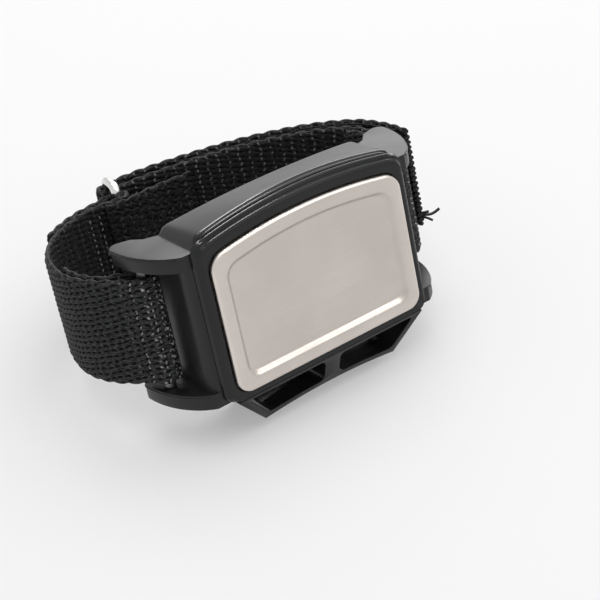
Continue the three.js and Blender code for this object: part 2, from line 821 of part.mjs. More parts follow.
// Lean back until the lowest points of the guard and of the ring are level.
function lowest(mesh, lean) {
  const spots = mesh.geometry.attributes.position;
  let low = Infinity;
  for (let i = 0; i < spots.count; i += 1) {
    low = Math.min(low, spots.getZ(i) * Math.cos(lean) - spots.getY(i) * Math.sin(lean));
  }
  return low;
}

function restLean() {
  let low = 0;
  let high = Math.PI / 4;
  for (let i = 0; i < 40; i += 1) {
    const lean = (low + high) / 2;
    if (lowest(caseMesh, lean) < lowest(ringMesh, lean)) low = lean;
    else high = lean;
  }
  return (low + high) / 2;
}

band3d.rotation.x = -restLean();
const whole = new THREE.Group();
whole.add(band3d);
const bounds = new THREE.Box3().setFromObject(whole, true);
band3d.position.set(
  -(bounds.min.x + bounds.max.x) / 2,
  -(bounds.min.y + bounds.max.y) / 2,
  -bounds.min.z,
);

export default whole;
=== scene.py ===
# %% [markdown]
# # A magnetic wristband, piece by piece
# The wristband is a steel-faced magnet case on a webbing strap that closes through a wire ring.
# The imported model is loaded first, and its meshes are freed from their parents in place. Every
# new piece hangs on an empty named for one of its bodies.

# %% Load the frame
import math

import bmesh
import bpy
import numpy as np
from bmesh.types import BMEdge, BMFace, BMVert
from mathutils import Matrix, Vector


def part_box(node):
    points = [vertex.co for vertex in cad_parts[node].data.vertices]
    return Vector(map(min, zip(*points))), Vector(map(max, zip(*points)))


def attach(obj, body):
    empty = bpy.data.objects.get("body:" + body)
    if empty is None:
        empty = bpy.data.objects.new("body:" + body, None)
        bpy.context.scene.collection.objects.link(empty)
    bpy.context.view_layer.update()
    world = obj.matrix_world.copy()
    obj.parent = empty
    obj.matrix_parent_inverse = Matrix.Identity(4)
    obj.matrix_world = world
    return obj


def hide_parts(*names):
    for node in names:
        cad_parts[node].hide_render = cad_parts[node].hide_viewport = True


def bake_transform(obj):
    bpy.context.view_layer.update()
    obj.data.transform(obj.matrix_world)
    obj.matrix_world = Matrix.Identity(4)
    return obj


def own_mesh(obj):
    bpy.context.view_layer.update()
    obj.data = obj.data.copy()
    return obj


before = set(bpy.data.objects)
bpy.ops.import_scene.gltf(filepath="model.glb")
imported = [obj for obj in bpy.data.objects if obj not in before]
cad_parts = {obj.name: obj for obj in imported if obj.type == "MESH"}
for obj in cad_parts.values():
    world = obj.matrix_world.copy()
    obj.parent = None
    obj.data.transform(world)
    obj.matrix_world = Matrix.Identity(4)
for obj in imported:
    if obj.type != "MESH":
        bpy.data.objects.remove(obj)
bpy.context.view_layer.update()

scene = bpy.context.scene
scene.view_settings.view_transform = "Standard"

# %% [markdown]
# The band leans back on its guard and its ring. Each piece is drawn in the case's own axes, in
# millimetres: X along the case, Y the depth behind the plate's rim and Z across the strap. One
# matrix takes a finished mesh to its place, and two helpers make a mesh and add an object.

# %% Axes of the case
LEAN = math.radians(13.640024)
CASE_ORIGIN = (-0.000345, -0.0324884, 0.0298587)
to_row = (
    Matrix.Translation(CASE_ORIGIN)
    @ Matrix.Rotation(-LEAN, 4, "X")
    @ Matrix.Scale(0.001, 4)
)


def row_point(x, depth, z):
    return to_row @ Vector((x, depth, z))


def to_mesh(bm, name):
    mesh = bpy.data.meshes.new(name)
    bm.to_mesh(mesh)
    bm.free()
    return mesh


def add_object(name, data):
    added = bpy.data.objects.new(name, data)
    scene.collection.objects.link(added)
    return added


low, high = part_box("face_plate")
print("plate from the frame", [round(v * 1000, 2) for v in (*low, *high)])
print("plate's lower left corner by the matrix", [round(v * 1000, 2) for v in row_point(-24.5, 3, -16.1)])

# %% [markdown]
# The camera comes first, because every piece is compared with the photograph. It looks down on the
# plate from the front left, from about 38 cm. Its axes are the columns of its matrix, and a small
# shift puts the plate's middle in its place in the picture.

# %% Camera
camera = bpy.data.cameras.new("camera")
camera.lens = 107.87
camera.sensor_width = 36
camera.shift_x = -0.0357
camera.shift_y = -0.0266
camera_object = add_object("camera", camera)
camera_object.matrix_world = Matrix((
    (0.7984, 0.3940, -0.4555, -0.17407),
    (-0.6006, 0.4657, -0.6501, -0.28043),
    (-0.0440, 0.7927, 0.6084, 0.26189),
    (0, 0, 0, 1),
))
scene.camera = camera_object
print("camera stands", round(camera_object.location.length * 1000), "mm from the middle of the floor")

# %% [markdown]
# ## Finishes
# Every finish is a small tree of nodes. The helpers below add one kind of node each, to a material
# or to a group, so a finish reads as a list of what it mixes.

# %% Helpers for node trees
def new_group(name, inputs, outputs):
    group = bpy.data.node_groups.new(name, "ShaderNodeTree")
    for label, value in inputs.items():
        socket = group.interface.new_socket(name=label, in_out="INPUT", socket_type="NodeSocketFloat")
        socket.default_value = value
    for label in outputs:
        group.interface.new_socket(name=label, in_out="OUTPUT", socket_type="NodeSocketFloat")
    return group, group.nodes.new("NodeGroupInput"), group.nodes.new("NodeGroupOutput")


def new_material(name):
    material = bpy.data.materials.new(name)
    material.use_nodes = True
    tree = material.node_tree
    return material, tree, tree.nodes["Principled BSDF"]


def add_group(tree, group, **values):
    node = tree.nodes.new("ShaderNodeGroup")
    node.node_tree = group
    for label, value in values.items():
        node.inputs[label].default_value = value
    return node


def feed(tree, socket, value):
    if isinstance(value, bpy.types.NodeSocket):
        tree.links.new(value, socket)
    else:
        socket.default_value = value


def add_node(tree, kind, inputs):
    node = tree.nodes.new(kind)
    for label, value in inputs.items():
        feed(tree, node.inputs[label], value)
    return node


def combine(tree, kind, *values):
    node = tree.nodes.new("ShaderNodeMath")
    node.operation = kind
    for socket, value in zip(node.inputs, values):
        feed(tree, socket, value)
    return node.outputs["Value"]


def spread(tree, value, low, high, start=0.3, end=0.7):
    limits = {"Value": value, "From Min": start, "From Max": end, "To Min": low, "To Max": high}
    return add_node(tree, "ShaderNodeMapRange", limits).outputs["Result"]


def noise(tree, place, scale, detail=2):
    inputs = {"Vector": place, "Scale": scale, "Detail": detail}
    return add_node(tree, "ShaderNodeTexNoise", inputs).outputs["Fac"]


def stretched(tree, place, scale):
    return add_node(tree, "ShaderNodeMapping", {"Vector": place, "Scale": scale}).outputs["Vector"]


def mix_colours(tree, factor, first, second):
    mix = tree.nodes.new("ShaderNodeMix")
    mix.data_type = "RGBA"
    tree.links.new(factor, mix.inputs["Factor"])
    for label, colour in (("A", first), ("B", second)):
        feed(tree, mix.inputs[label], (*colour, 1) if isinstance(colour, tuple) else colour)
    return mix.outputs["Result"]


# %% Helpers for the shader
def colour_by(tree, shader, factor, first, second):
    tree.links.new(mix_colours(tree, factor, first, second), shader.inputs["Base Color"])


def roughen(tree, shader, value, low, high):
    tree.links.new(spread(tree, value, low, high), shader.inputs["Roughness"])


def add_bump(tree, shader, height, strength, distance):
    inputs = {"Height": height, "Strength": strength, "Distance": distance}
    bump = add_node(tree, "ShaderNodeBump", inputs)
    tree.links.new(bump.outputs["Normal"], shader.inputs["Normal"])


# %% [markdown]
# A node group is built once and placed in each material with its own values, so the grain of the
# case and of the cover stay alike. The first is a fine moulded grain on Object coordinates.

# %% Grain group
grain_group, given, made = new_group("moulded grain", {"Fine": 2600.0, "Broad": 90.0}, ["Height", "Mottle"])
place = grain_group.nodes.new("ShaderNodeTexCoord").outputs["Object"]
for label, detail, result in (("Fine", 3, "Height"), ("Broad", 4, "Mottle")):
    grain_group.links.new(noise(grain_group, place, given.outputs[label], detail), made.inputs[result])
print("group", grain_group.name, "has", len(grain_group.nodes), "nodes")

# %% [markdown]
# Edges of a handled plastic case are polished by use, and steel edges get a painted highlight.
# Pointiness is high where a mesh is convex, so a group that ramps it gives an edge mask for both.

# %% Edge group
edge_wear_and_highlight_group, given, made = new_group("edge wear and painted highlight", {"Start": 0.51, "End": 0.58, "Patches": 300.0}, ["Edge"])
pointed = edge_wear_and_highlight_group.nodes.new("ShaderNodeNewGeometry").outputs["Pointiness"]
ramp = spread(edge_wear_and_highlight_group, pointed, 0, 1, given.outputs["Start"], given.outputs["End"])
place = edge_wear_and_highlight_group.nodes.new("ShaderNodeTexCoord").outputs["Object"]
patches = noise(edge_wear_and_highlight_group, place, given.outputs["Patches"])
edge_wear_and_highlight_group.links.new(combine(edge_wear_and_highlight_group, "MULTIPLY", ramp, patches), made.inputs["Edge"])
print("group", edge_wear_and_highlight_group.name, "has", len(edge_wear_and_highlight_group.nodes), "nodes")

# %% [markdown]
# The case is dark grey satin plastic with a faint grain: faces that look up at the soft light turn
# light grey while the sides stay nearly black. Worn edges are a little paler, and the roughness is
# mottled.

# %% Case plastic
def case_plastic(name, dark, pale, rough):
    material, tree, shader = new_material(name)
    grain = add_group(tree, grain_group, Fine=2600.0, Broad=70.0)
    edge = add_group(tree, edge_wear_and_highlight_group, Start=0.52, End=0.6, Patches=260.0)
    mottled = mix_colours(tree, grain.outputs["Mottle"], dark, pale)
    worn = tuple(2.2 * c for c in pale)
    colour_by(tree, shader, edge.outputs["Edge"], mottled, worn)
    roughen(tree, shader, grain.outputs["Mottle"], rough - 0.05, rough + 0.06)
    shader.inputs["Specular IOR Level"].default_value = 0.32
    add_bump(tree, shader, grain.outputs["Height"], 0.22, 0.00005)
    return material


plastic = case_plastic("case_plastic", (0.0095, 0.0098, 0.0105), (0.0165, 0.0168, 0.0175), 0.37)
bezel_plastic = case_plastic("bezel_plastic", (0.006, 0.0064, 0.007), (0.011, 0.0115, 0.0125), 0.2)
cover_plastic = case_plastic("cover_plastic", (0.012, 0.0125, 0.0135), (0.022, 0.0225, 0.0235), 0.5)
print("plastics", plastic.name, bezel_plastic.name, cover_plastic.name)

# %% [markdown]
# The plate is pressed steel with a satin finish, slightly warm, with very fine scratches along it.
# A noise that is stretched along X gives the scratches and moves both the roughness and a very
# shallow bump.

# %% Plate steel
def brushed_steel(name, dark, pale, rough, stretch):
    material, tree, shader = new_material(name)
    place = tree.nodes.new("ShaderNodeTexCoord").outputs["Object"]
    scratches = noise(tree, stretched(tree, place, stretch), 1.0, 5)
    grain = add_group(tree, grain_group, Fine=4200.0, Broad=55.0)
    toned = mix_colours(tree, grain.outputs["Mottle"], dark, pale)
    edge = add_group(tree, edge_wear_and_highlight_group, Start=0.505, End=0.55, Patches=120.0)
    # Painted highlight: convex edges get a paler colour than the steel, for the light that they catch.
    painted_edge_highlight = tuple(min(1.45 * c, 0.94) for c in pale)
    colour_by(tree, shader, edge.outputs["Edge"], toned, painted_edge_highlight)
    shader.inputs["Metallic"].default_value = 1
    roughen(tree, shader, scratches, rough - 0.08, rough + 0.08)
    add_bump(tree, shader, scratches, 0.18, 0.00003)
    return material


plate_steel = brushed_steel("plate_steel", (0.5, 0.455, 0.416), (0.64, 0.592, 0.548), 0.34, (60, 2600, 2600))
ring_plating = brushed_steel("ring_plating", (0.6, 0.595, 0.575), (0.76, 0.755, 0.73), 0.16, (300, 300, 900))
bar_steel = brushed_steel("bar_steel", (0.13, 0.13, 0.135), (0.2, 0.2, 0.2), 0.36, (2600, 2600, 200))
print("steels", plate_steel.name, ring_plating.name, bar_steel.name)

# %% [markdown]
# Ferrite magnets are sintered and ground, so they are charcoal grey, dull and finely pitted. Sewing
# thread needs the same few nodes, so one function makes both kinds of finish.

# %% Ferrite and thread
def grained_material(name, grain_sizes, dark, pale, rough, bump=None):
    material, tree, shader = new_material(name)
    grain = add_group(tree, grain_group, **grain_sizes)
    colour_by(tree, shader, grain.outputs["Mottle"], dark, pale)
    roughen(tree, shader, grain.outputs["Height"], *rough)
    if bump:
        add_bump(tree, shader, grain.outputs["Height"], *bump)
    return material


ferrite = grained_material(
    "ferrite", {"Fine": 3800.0, "Broad": 160.0}, (0.022, 0.022, 0.024), (0.045, 0.044, 0.044),
    (0.55, 0.8), (0.5, 0.0001),
)
thread = grained_material(
    "sewing_thread", {"Fine": 5200.0, "Broad": 400.0}, (0.1, 0.1, 0.1), (0.3, 0.3, 0.29),
    (0.4, 0.65), (0.5, 0.00005),
)
black_thread = grained_material(
    "black_thread", {"Fine": 5200.0, "Broad": 700.0}, (0.006, 0.006, 0.007), (0.022, 0.022, 0.024),
    (0.5, 0.75),
)
print("grained finishes", ferrite.name, thread.name, black_thread.name)

# %% [markdown]
# The webbing is woven with short slits, where one yarn dips under the next, and shade is painted
# into them. They lie on a slightly slanted lattice in millimetres, which the relief of the ribbons
# shares, and a UV map carries it round the bends. The group also gives a mask for painted glints in
# ragged columns.

# %% Weave group
PICK = 1.85
ROW = 1.32
SLANT = 0.238
COLUMN = 2.6
SLIT_ALONG = (-0.6, 0.3)
SLIT_ACROSS = (0.3, 0.85)


def weave_place(tree):
    node = tree.nodes.new("ShaderNodeUVMap")
    node.uv_map = "weave"
    return node.outputs["UV"]


weave_sizes = {"Pick": PICK, "Row": ROW, "Slant": SLANT, "Column": COLUMN}
weave_group, given, made = new_group("slit weave", weave_sizes, ["Crown", "Painted Glint"])
place = weave_place(weave_group)
parts = add_node(weave_group, "ShaderNodeSeparateXYZ", {"Vector": place})


def wave_band(value, period, limits):
    turns = combine(weave_group, "DIVIDE", value, given.outputs[period])
    wave = combine(weave_group, "COSINE", combine(weave_group, "MULTIPLY", turns, 2 * math.pi))
    return spread(weave_group, wave, 0, 1, *limits)


along = parts.outputs["X"]
across = parts.outputs["Y"]
slanted = combine(weave_group, "MULTIPLY_ADD", along, given.outputs["Slant"], across)
along_slit = wave_band(along, "Pick", SLIT_ALONG)
across_slit = wave_band(slanted, "Row", SLIT_ACROSS)
slit = combine(weave_group, "MULTIPLY", along_slit, across_slit)
weave_group.links.new(combine(weave_group, "SUBTRACT", 1.0, slit), made.inputs["Crown"])
# A mask for painted glints: short dashes in columns, broken up by noise.
columns = wave_band(along, "Column", (0.76, 0.96))
dashes = combine(weave_group, "MULTIPLY", columns, wave_band(across, "Row", (-0.5, 0.5)))
ragged = spread(weave_group, noise(weave_group, place, 1.1), 0, 1, 0.34, 0.56)
weave_group.links.new(combine(weave_group, "MULTIPLY", dashes, ragged), made.inputs["Painted Glint"])
print("group", weave_group.name, "has", len(weave_group.nodes), "nodes")

# %% [markdown]
# Webbing yarn is black polyester. The material adds filaments along each yarn, painted shade in the
# slits, crowns made paler for wear and as a painted sheen, and a soft sheen. The tapes have no slits,
# so theirs takes the height of the pile from the ribbon's crown attribute, and the painted shade
# falls in the low parts of the pile. The glint attribute says how much the painted glints show, and
# one more attribute how much painted shade darkens the inside.

# %% Yarn materials
FILAMENTS = 2.6
yarn_group, given, made = new_group("yarn", {"Filaments": FILAMENTS}, ["Height"])
place = stretched(yarn_group, weave_place(yarn_group), (0.4, 1.4, 1))
filaments = noise(yarn_group, place, given.outputs["Filaments"], 3)
yarn_group.links.new(filaments, made.inputs["Height"])


def attribute(tree, name):
    node = tree.nodes.new("ShaderNodeAttribute")
    node.attribute_name = name
    return node.outputs["Fac"]


def yarn_material(name, shade_colour, yarn, crown_sheen_colour, painted_glint_colour, rough, sheen, woven):
    material, tree, shader = new_material(name)
    weave = add_group(tree, weave_group, **weave_sizes)
    height = weave.outputs["Crown"] if woven else attribute(tree, "crown")
    threads = add_group(tree, yarn_group, Filaments=FILAMENTS).outputs["Height"]
    twist = spread(tree, threads, 0, 1, 0.35, 0.65)
    dyed = mix_colours(tree, twist, tuple(0.3 * c for c in yarn), tuple(2.0 * c for c in yarn))
    # Painted shade: the slits, and the low parts of the pile, take the dark shade colour.
    slit_shaded = mix_colours(tree, spread(tree, height, 0, 1, 0.25, 0.8), shade_colour, dyed)
    # Crowns are made paler, partly for wear and partly as a painted sheen.
    worn = spread(tree, combine(tree, "MULTIPLY", height, threads), 0, 1, 0.42, 0.68)
    base = mix_colours(tree, worn, slit_shaded, crown_sheen_colour)
    # Painted shade: where the attribute says, the inside is darkened towards the shade colour.
    inner_shaded = mix_colours(tree, attribute(tree, "inner_shade"), shade_colour, base)
    # Painted glints: bright dots where the glint mask shows.
    shown = combine(tree, "MULTIPLY", weave.outputs["Painted Glint"], attribute(tree, "glint"))
    colour_by(tree, shader, shown, inner_shaded, painted_glint_colour)
    roughen(tree, shader, threads, rough - 0.1, rough + 0.1)
    shader.inputs["Specular IOR Level"].default_value = 0.13
    shader.inputs["Sheen Weight"].default_value = sheen
    shader.inputs["Sheen Roughness"].default_value = 0.4
    add_bump(tree, shader, threads, 0.6, 0.00014)
    return material


# For both yarns the colours are, in order: painted shade, yarn, crown with wear and painted sheen, and
# painted glint.
webbing = yarn_material(
    "webbing", (0.001, 0.001, 0.0012), (0.0115, 0.0118, 0.0124), (0.07, 0.0715, 0.074), (0.5, 0.5, 0.48),
    rough=0.6, sheen=0.01, woven=True,
)
pile = yarn_material(
    "tape_pile", (0.002, 0.002, 0.0025), (0.024, 0.0245, 0.026), (0.08, 0.082, 0.086), (0.12, 0.12, 0.12),
    rough=0.75, sheen=0.08, woven=False,
)
print("yarns", webbing.name, pile.name)

# %% [markdown]
# ## The case
# Every piece ends the same way: normals recalculated, the mesh taken to its place, smooth shading
# with sharp edges kept. The piece is then hung on its body, or fixed in place when it is given a
# crease, and the nodes that it replaces are hidden.

# %% Helper that finishes a piece
def finish_piece(bm, name, body, material, slot, *nodes, smooth=35):
    face_out(bm)
    bm.transform(to_row)
    mesh = to_mesh(bm, name)
    mesh.materials.append(material)
    mesh.shade_smooth()
    mesh.set_sharp_from_angle(angle=math.radians(smooth))
    piece = add_object(name, mesh)
    if isinstance(body, tuple):
        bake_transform(piece)
    else:
        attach(piece, body)
    if nodes:
        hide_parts(*nodes)
    print(name, "has", len(mesh.polygons), "faces and follows", body if isinstance(body, str) else body[:2])
    return piece


# %% [markdown]
# These helpers serve many pieces: they merge and close a mesh, pick elements of one kind, find and
# soften edges, keep the outline of a face without the face, and move what was extruded.

# %% Helpers for shapes
MERGE = 0.001


def merge(bm, distance=MERGE):
    bmesh.ops.remove_doubles(bm, verts=bm.verts[:], dist=distance)


def close_holes(bm):
    bmesh.ops.holes_fill(bm, edges=[e for e in bm.edges if e.is_boundary], sides=0)


def face_out(bm):
    bmesh.ops.recalc_face_normals(bm, faces=bm.faces)


def of_kind(elements, kind):
    return [element for element in elements if isinstance(element, kind)]


def sharp_edges(bm, degrees):
    limit = math.radians(degrees)
    return [e for e in bm.edges if len(e.link_faces) == 2 and e.calc_face_angle(0) > limit]


def soften(bm, geom, offset, segments, affect="EDGES"):
    bmesh.ops.bevel(
        bm, geom=geom, offset=offset, segments=segments, profile=0.5, affect=affect, material=-1,
        clamp_overlap=True,
    )


def outline_only(bm, before):
    edges = [e for e in bm.edges if e not in before]
    bmesh.ops.delete(bm, geom=list({f for e in edges for f in e.link_faces}), context="FACES_ONLY")
    return edges


def move_new(bm, grown, offset):
    verts = of_kind(grown["geom"], BMVert)
    bmesh.ops.translate(bm, verts=verts, vec=offset)
    return verts


# %% [markdown]
# Plate and bezel share one kind of outline: straight bottom and sides, an arched top and round
# corners. A vertex bevel rounds the four corners of a face. An outline is given by its half length,
# bottom, shoulder, rise of the arch, corner radius and depth.

# %% Arched outline
ARCH_STEPS = 14


def arched_face(bm, half, low, shoulder, bow, corner, depth):
    inner = half - corner * 1.05
    rise = [(inner * (1 - 2 * i / ARCH_STEPS)) for i in range(ARCH_STEPS + 1)]
    spots = [(-half, low), (half, low), (half, shoulder)]
    spots += [(x, shoulder + bow * (1 - (x / half) ** 2)) for x in rise]
    spots += [(-half, shoulder)]
    verts = [bm.verts.new((x, depth, z)) for x, z in spots]
    bm.faces.new(verts)
    soften(bm, [verts[0], verts[1], verts[2], verts[-1]], corner, 7, "VERTICES")


def arched_loop(bm, *sizes):
    before = set(bm.edges)
    arched_face(bm, *sizes)
    return outline_only(bm, before)


# %% [markdown]
# The face plate is a pressed tray: a skirt, a rounded outer edge, a flat rim and a panel that is
# sunk by one millimetre over a sloping step. Four outlines are bridged one to the next, the
# innermost is filled, and Solidify gives the sheet its thickness.

# %% Face plate
bm = bmesh.new()
loop_sizes = [
    (24.5, -16.1, 16.1, 2.8, 3.4, 2.9),
    (24.5, -16.1, 16.1, 2.8, 3.4, 0.0),
    (21.6, -13.2, 13.3, 2.5, 2.9, 0.0),
    (20.6, -12.2, 12.4, 2.4, 2.4, 1.0),
]
loops = [arched_loop(bm, *sizes) for sizes in loop_sizes]
for outer, inner in zip(loops, loops[1:]):
    bmesh.ops.bridge_loops(bm, edges=outer + inner)
bmesh.ops.contextual_create(bm, geom=loops[-1])
face_out(bm)
if max(bm.faces, key=lambda f: f.calc_area()).normal.y > 0:
    bmesh.ops.reverse_faces(bm, faces=bm.faces)
rim = [e for e in loops[1] if e.is_valid]
step = [e for loop in loops[2:] for e in loop if e.is_valid]
soften(bm, rim, 0.75, 4)
soften(bm, [e for e in step if e.is_valid], 0.45, 4)
plate = finish_piece(bm, "plate_tray", "case", plate_steel, "plate", "face_plate")
sheet_metal = plate.modifiers.new("sheet", "SOLIDIFY")
sheet_metal.thickness = 0.0008
sheet_metal.offset = -1
sheet_metal.use_even_offset = True

# %% [markdown]
# The bezel is the thin dark frame round the plate. Its outside flares back in small terraces, which
# catch the light as fine parallel lines above the plate. Six outlines are bridged one to the next,
# and the sharp edges are then rounded.

# %% Front bezel
bm = bmesh.new()
loop_sizes = [
    (24.8, -16.4, 16.4, 2.8, 3.7, 1.15),
    (25.9, -17.7, 18.4, 2.9, 1.9, 1.15),
    (26.4, -17.7, 18.75, 3.2, 2.0, 1.9),
    (26.7, -17.7, 19.2, 3.3, 2.0, 2.0),
    (27.2, -17.7, 19.4, 3.4, 2.1, 3.0),
    (24.8, -16.4, 16.4, 2.8, 3.7, 3.0),
]
loops = [arched_loop(bm, *sizes) for sizes in loop_sizes]
for i, loop in enumerate(loops):
    bmesh.ops.bridge_loops(bm, edges=loop + loops[(i + 1) % len(loops)])
face_out(bm)
soften(bm, sharp_edges(bm, 30), 0.2, 3)
merge(bm)
finish_piece(bm, "bezel_frame", "case", bezel_plastic, "case", "front_bezel")

# %% [markdown]
# The middle of the case is a block with four lugs that hold the spring bars. Three flat faces, for
# the block and its two ends, are extruded to the lugs' thickness. The block alone is extruded on to
# the middle, a mirror makes the upper half, and a bevel softens the sharp edges.

# %% Outlines of block and lugs
CASE_HALF = 29
CASE_BACK = 17.4
CASE_EDGE = 18
LUG_THICK = 3.5
LUG_ROOT = 24
LUG_LONG = 12.2
LUG_DEEP = 18.3
LUG_START = 16.8
LUG_TURN = 20.1
LUG_TIP = 36.2
LUG_NOSE = 2


def lug_curve(side):
    spots = []
    start = math.acos(LUG_START / LUG_DEEP)
    for i in range(13):
        angle = start + (math.pi / 2 - start) * i / 12
        x = LUG_ROOT + LUG_LONG * math.sin(angle)
        spots.append((side * x, LUG_TURN - LUG_DEEP * math.cos(angle)))
    for i in range(1, 6):
        angle = math.pi * 0.55 * i / 5
        x = LUG_TIP - LUG_NOSE * (1 - math.cos(angle))
        spots.append((side * x, LUG_TURN + LUG_NOSE * math.sin(angle)))
    return spots + [(side * 31, 21.1), (side * CASE_HALF, 18.6)]


def flank(side):
    turns = np.linspace(0, math.pi / 2, 7)
    return [(side * (26.8 + 2.2 * math.sin(t)), 6.9 - 3.6 * math.cos(t)) for t in turns]


back_spots = [(x, CASE_BACK) for x in (CASE_HALF, 26, -26, -CASE_HALF)]
block_spots = flank(1) + back_spots + flank(-1)[::-1]
print("block outline has", len(block_spots), "points and each lug", len(lug_curve(1)))

# %% Case block with lugs
bm = bmesh.new()
block_verts = [bm.verts.new((x, d, -CASE_EDGE)) for x, d in block_spots]
bm.faces.new(block_verts)
right = [bm.verts.new((x, d, -CASE_EDGE)) for x, d in lug_curve(1)]
left = [bm.verts.new((x, d, -CASE_EDGE)) for x, d in lug_curve(-1)]
bm.faces.new([block_verts[0], *right, *reversed(block_verts[1:9])])
bm.faces.new([*reversed(block_verts[9:]), *reversed(left)])
grown = bmesh.ops.extrude_face_region(bm, geom=bm.faces[:])
move_new(bm, grown, (0, 0, LUG_THICK))
block_top = max(of_kind(grown["geom"], BMFace), key=lambda f: f.calc_area())
grown = bmesh.ops.extrude_face_region(bm, geom=[block_top])
move_new(bm, grown, (0, 0, CASE_EDGE - LUG_THICK))
cap = of_kind(grown["geom"], BMFace)
bmesh.ops.delete(bm, geom=cap + ([block_top] if block_top.is_valid else []), context="FACES")
bmesh.ops.mirror(bm, geom=bm.verts[:] + bm.edges[:] + bm.faces[:], axis="Z", merge_dist=MERGE)
merge(bm)
face_out(bm)
bmesh.ops.dissolve_limit(bm, angle_limit=math.radians(1), verts=bm.verts[:], edges=bm.edges[:])
soften(bm, sharp_edges(bm, 28), 0.5, 4)
print("block and lugs have", len(bm.faces), "faces")

# %% [markdown]
# The block is hollow: the magnets and their yoke fill it, the plate closes its front and the cover
# its back. A Boolean modifier cuts the hollow. The result is read back and the cutter thrown away.

# %% Hollow of the case
def carve(bm, cutter):
    block, blade = [add_object("carving", to_mesh(part, "carving")) for part in (bm, cutter)]
    cut = block.modifiers.new("cut", "BOOLEAN")
    cut.object = blade
    cut.solver = "EXACT"
    carved = bmesh.new()
    carved.from_object(block, bpy.context.evaluated_depsgraph_get())
    for piece in (block, blade):
        bpy.data.meshes.remove(piece.data)
    return carved


cutter = bmesh.new()
arched_face(cutter, 26, -15, 15, 1.5, 3, 1)
grown = bmesh.ops.extrude_face_region(cutter, geom=cutter.faces[:])
move_new(cutter, grown, (0, 19, 0))
face_out(cutter)
finish_piece(carve(bm, cutter), "case_block", "case", plastic, "case", "mid_case")

# %% [markdown]
# The arched wall over the plate is one smooth surface, lower towards the wrist, with two terraces
# at its front edge and a hollow fillet where it meets the lugs. A line of vertices follows the arch
# and is extruded row by row. A row is given by its depth, its shoulder's height and the rise of its
# arch.

# %% Rows of the arched wall
ARCH_HALF = 26.4
ARCH_BASE = 17.95
ARCH_FOOT = 17.4
ends = [0, 0.35, 0.65, 0.95, 1.3, 1.8, 2.6, 3.6]
end_rise = [0, 0.06, 0.2, 0.46, 0.74, 0.93, 1.0, 1.0]
middle = np.linspace(-ARCH_HALF + 5, ARCH_HALF - 5, 25)
arch_x = [-ARCH_HALF + e for e in ends] + list(middle) + [ARCH_HALF - e for e in reversed(ends)]
arch_lift = end_rise + [1.0] * len(middle) + end_rise[::-1]
arch_rows = [
    (3.05, -0.6, 0.0), (3.05, 1.2, 3.1), (3.2, 1.42, 3.25), (3.5, 1.5, 3.28), (3.58, 1.75, 3.3),
    (3.7, 2.1, 3.4), (3.95, 2.32, 3.42), (4.3, 2.4, 3.4), (5.5, 2.34, 3.2), (8, 2.2, 2.8), (11, 2.04, 2.25),
    (14, 1.88, 1.7), (16.2, 1.76, 1.3), (16.8, 1.66, 1.2), (17.2, 1.4, 1.15), (17.4, 0.95, 1.1),
    (17.42, -0.6, 0.0),
]
print("arch wall has", len(arch_rows), "rows of", len(arch_x), "points")


# %% Arched top wall
def arch_height(i, shoulder, bow):
    swell = shoulder + bow * (1 - (arch_x[i] / ARCH_HALF) ** 2)
    return ARCH_BASE + max(swell, 0) * arch_lift[i] if shoulder > 0 else ARCH_FOOT


bm = bmesh.new()
depth, shoulder, bow = arch_rows[0]
row = [bm.verts.new((x, depth, arch_height(i, shoulder, bow))) for i, x in enumerate(arch_x)]
front_row = row
edges = [bm.edges.new(pair) for pair in zip(row, row[1:])]
for depth, shoulder, bow in arch_rows[1:]:
    grown = bmesh.ops.extrude_edge_only(bm, edges=edges)
    edges = of_kind(grown["geom"], BMEdge)
    row = sorted(of_kind(grown["geom"], BMVert), key=lambda v: v.co.x)
    for i, vert in enumerate(row):
        vert.co = (arch_x[i], depth, arch_height(i, shoulder, bow))
bm.faces.new([*front_row, *reversed(row)])
close_holes(bm)
for face in bm.faces:
    face.material_index = int(face.calc_center_median().y < 4.2)
arch = finish_piece(bm, "arch_wall", "case", plastic, "case", smooth=50)
arch.data.materials.append(bezel_plastic)

# %% [markdown]
# Three fine ribs run along the top of the frame, and the light draws a thin line on each. A rib is
# a tube, sunk by half: a curve with a round bevel draws it, and is then made a mesh. It is given by
# its reach and depth, and by the shoulder, rise and half length of its arch.

# %% Ribs over the plate
def drawn_tube(spots, thick):
    curve = bpy.data.curves.new("tube", "CURVE")
    curve.dimensions = "3D"
    curve.bevel_depth = thick
    curve.bevel_resolution = 2
    curve.use_fill_caps = True
    spline = curve.splines.new("NURBS")
    spline.points.add(len(spots) - 1)
    for point, spot in zip(spline.points, spots):
        point.co = (*spot, 1)
    spline.use_endpoint_u = True
    spline.order_u = 4
    drawn = add_object("tube", curve)
    tube = bpy.data.meshes.new_from_object(drawn.evaluated_get(bpy.context.evaluated_depsgraph_get()))
    bm = bmesh.new()
    bm.from_mesh(tube)
    bpy.data.curves.remove(curve)
    bpy.data.meshes.remove(tube)
    return bm


ribs = [(23.4, 3.35, 19.7, 3.3, 26.4), (24.2, 2.45, 19.29, 3.34, 27.0), (23.7, 1.5, 18.56, 3.04, 26.1)]
for number, (reach, depth, shoulder, bow, half) in enumerate(ribs, 1):
    line = [(x, depth, shoulder + bow * (1 - (x / half) ** 2)) for x in np.linspace(-reach, reach, 25)]
    sunk_end = (reach + 0.9, depth + 0.3, line[0][2] - 0.8)
    spots = [(-sunk_end[0], *sunk_end[1:]), *line, sunk_end]
    finish_piece(drawn_tube(spots, 0.42), f"rib_{number}", "case", bezel_plastic, "case", smooth=80)

# %% [markdown]
# The case is moulded in two halves, and where they meet a fine seam runs round each lug just under
# its upper edge. It is one more tube, along the lug's own curve.

